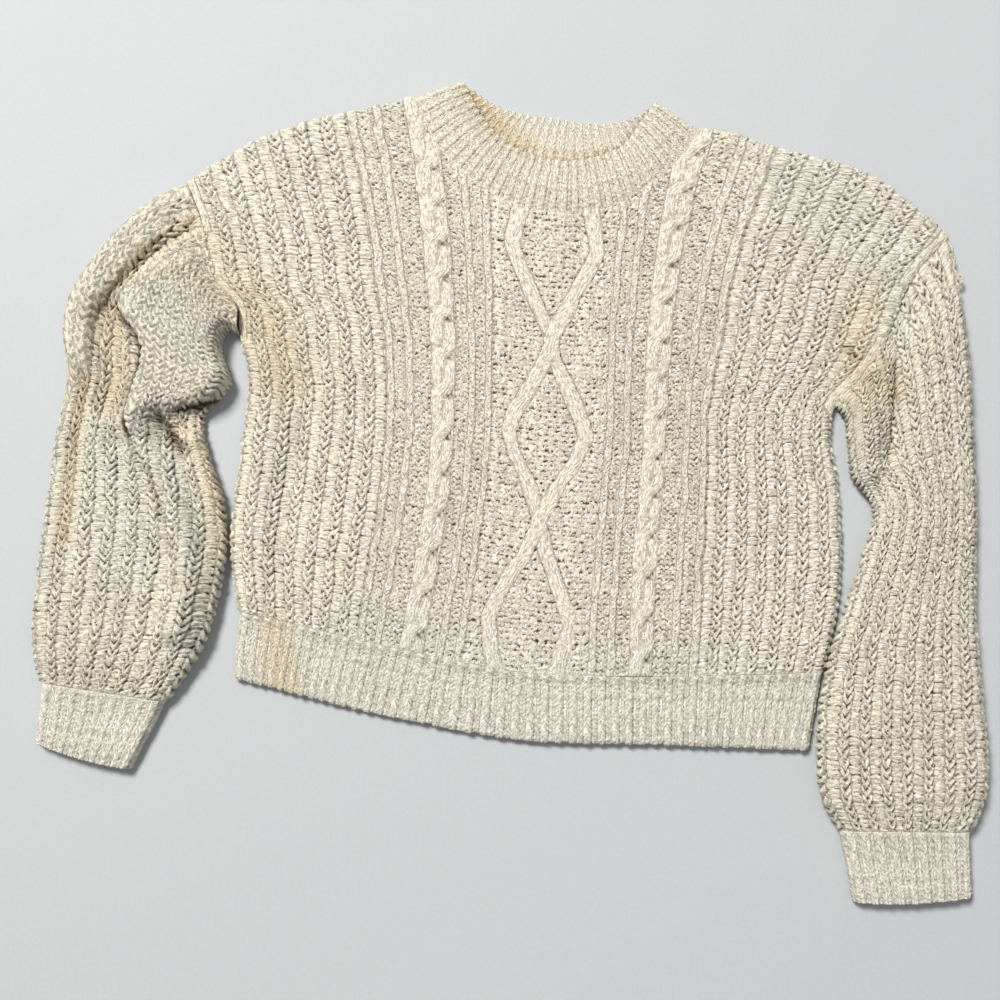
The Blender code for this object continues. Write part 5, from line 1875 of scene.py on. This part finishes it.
# Folds of the sleeves: (half width, rise, crispness, path of x, y).
LEFT_FOLDS = (
    (5, -4, 2, ((-268, 228), (-284, 212), (-306, 194), (-321, 176), (-336, 155))),
    (15, -9, 3, ((-332, 150), (-325, 112), (-328, 76))),
    (8, -4, 2, ((-350, 93), (-356, 54), (-361, -10), (-363, -77))),
    (9, -4, 2, ((-305, 167), (-296, 160), (-283, 141), (-270, 124), (-251, 106))),
    (11, 12, 2, ((-305, 62), (-298, 40), (-285, 18), (-270, -12), (-260, -45), (-258, -80), (-266, -112))),
    (9, -5, 2, ((-326, 44), (-316, 16), (-300, -10), (-286, -36), (-274, -70))),
    (7, 5, 2, ((-262, 56), (-247, 30), (-240, -2))),
    (6, -8, 2, ((-288, 62), (-277, 46), (-266, 30))),
    (16, -2, 2, ((-330, 20), (-315, -60), (-305, -120))),
    (10, -8, 2, ((-278, 52), (-250, 62), (-232, 70))),
)
LEFT_LAPS = (
    Lap(
        rise=10.0,
        edges=(
            ((-328, 169), (-326, 157), (-321, 148), (-309, 135), (-302, 120), (-304, 101), (-311, 82),
             (-312, 64), (-309, 50), (-302, 36)),
            ((-286, 57), (-276, 68), (-258, 73), (-238, 80), (-222, 84)),
        ),
        ends=(((-294, 30),), ((-186, 96), (-190, 142), (-226, 166), (-246, 188), (-262, 214), (-300, 200))),
        radius=8.0,
        soft=24.0,
    ),
    Lap(
        rise=6.0,
        edges=(((-276, 241), (-290, 218), (-313, 193), (-327, 176), (-343, 153), (-346, 140), (-346, 121),
                (-346, 98), (-349, 80)),),
        ends=(((-356, 40), (-380, 10), (-430, -10), (-430, 320), (-250, 300)),),
        radius=6.5,
        soft=36.0,
        crease=0.4,
        gloom=1.9,
    ),
)
RIGHT_FOLDS = (
    (13, -5, 2, ((330, 176), (325, 150), (323, 130))),
    (11, -7, 2, ((323, 118), (318, 73), (312, 38), (305, 2))),
    (26, 2, 2, ((348, 160), (348, 70), (338, -10), (328, -90), (316, -170))),
    (9, 3, 2, ((290, 84), (296, 51), (299, 20))),
    (8, -4, 2, ((280, 122), (287, 114))),
    (7, -3, 2, ((306, 106), (313, 94))),
    (5, 3, 2, ((303, 103), (288, 93), (277, 86))),
    (18, -2, 2, ((300, -60), (290, -140))),
)
RIGHT_LAPS = (
    Lap(
        rise=4.5,
        edges=(((326, 146), (325, 128), (323, 106), (321, 85), (318, 60), (315, 39), (309, 18), (301, -4)),),
        ends=(((300, -70), (450, -70), (450, 240), (345, 172)),),
        radius=16.0,
        soft=44.0,
        crease=0.55,
        gloom=3.0,
    ),
)
# Sections of the cuffs, from the seam to the edge: outer x, outer y, inner x, inner y.
LEFT_CUFF = ((-376, -154, -277, -169), (-377, -178, -284, -184), (-379, -201, -303, -222))
RIGHT_CUFF = ((364, -270, 262, -269), (364, -294, 267, -296), (364, -320, 271, -324))


def main() -> None:
    """Builds the jumper and the studio, and reports each piece."""
    logging.basicConfig(level=logging.INFO, format="%(name)s: %(message)s")
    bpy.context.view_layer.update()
    Studio().build()
    lay = Lay()
    body = WoolYarn("brushed_wool_cable_knit").material()
    back = WoolYarn("brushed_wool_back_knit").material()
    # Copies of the same yarn, a little darker on the sleeves, bands and collar; this paints in part of the
    # shade those parts look to be in.
    sleeves = WoolYarn("brushed_wool_fisherman_knit", light="F0E9D8").material()
    bands = WoolYarn("brushed_wool_rib_knit", light="EFEBDD").material()
    collar = WoolYarn("brushed_wool_collar_rib", light="F4EDDC").material()
    BackPanel(lay, back).build()
    HemRib(lay, bands, front=False).build()
    FrontPanel(lay, body).build()
    HemRib(lay, bands, front=True).build()
    turned = ((0, 1.0), (1, 0.75))
    Sleeve(lay, sleeves, Side.LEFT, LEFT_SLEEVE, LEFT_FOLDS, LEFT_LAPS, turned=turned).build()
    Sleeve(lay, sleeves, Side.RIGHT, RIGHT_SLEEVE, RIGHT_FOLDS, RIGHT_LAPS, seed=55).build()
    Cuff(lay, bands, Side.LEFT, LEFT_CUFF, start=14.0).build()
    Cuff(lay, bands, Side.RIGHT, RIGHT_CUFF, start=15.0, seed=65).build()
    Neckband(lay, collar).build()
    PulledLoops(lay, sleeves).build()


if __name__ == "__main__":
    main()
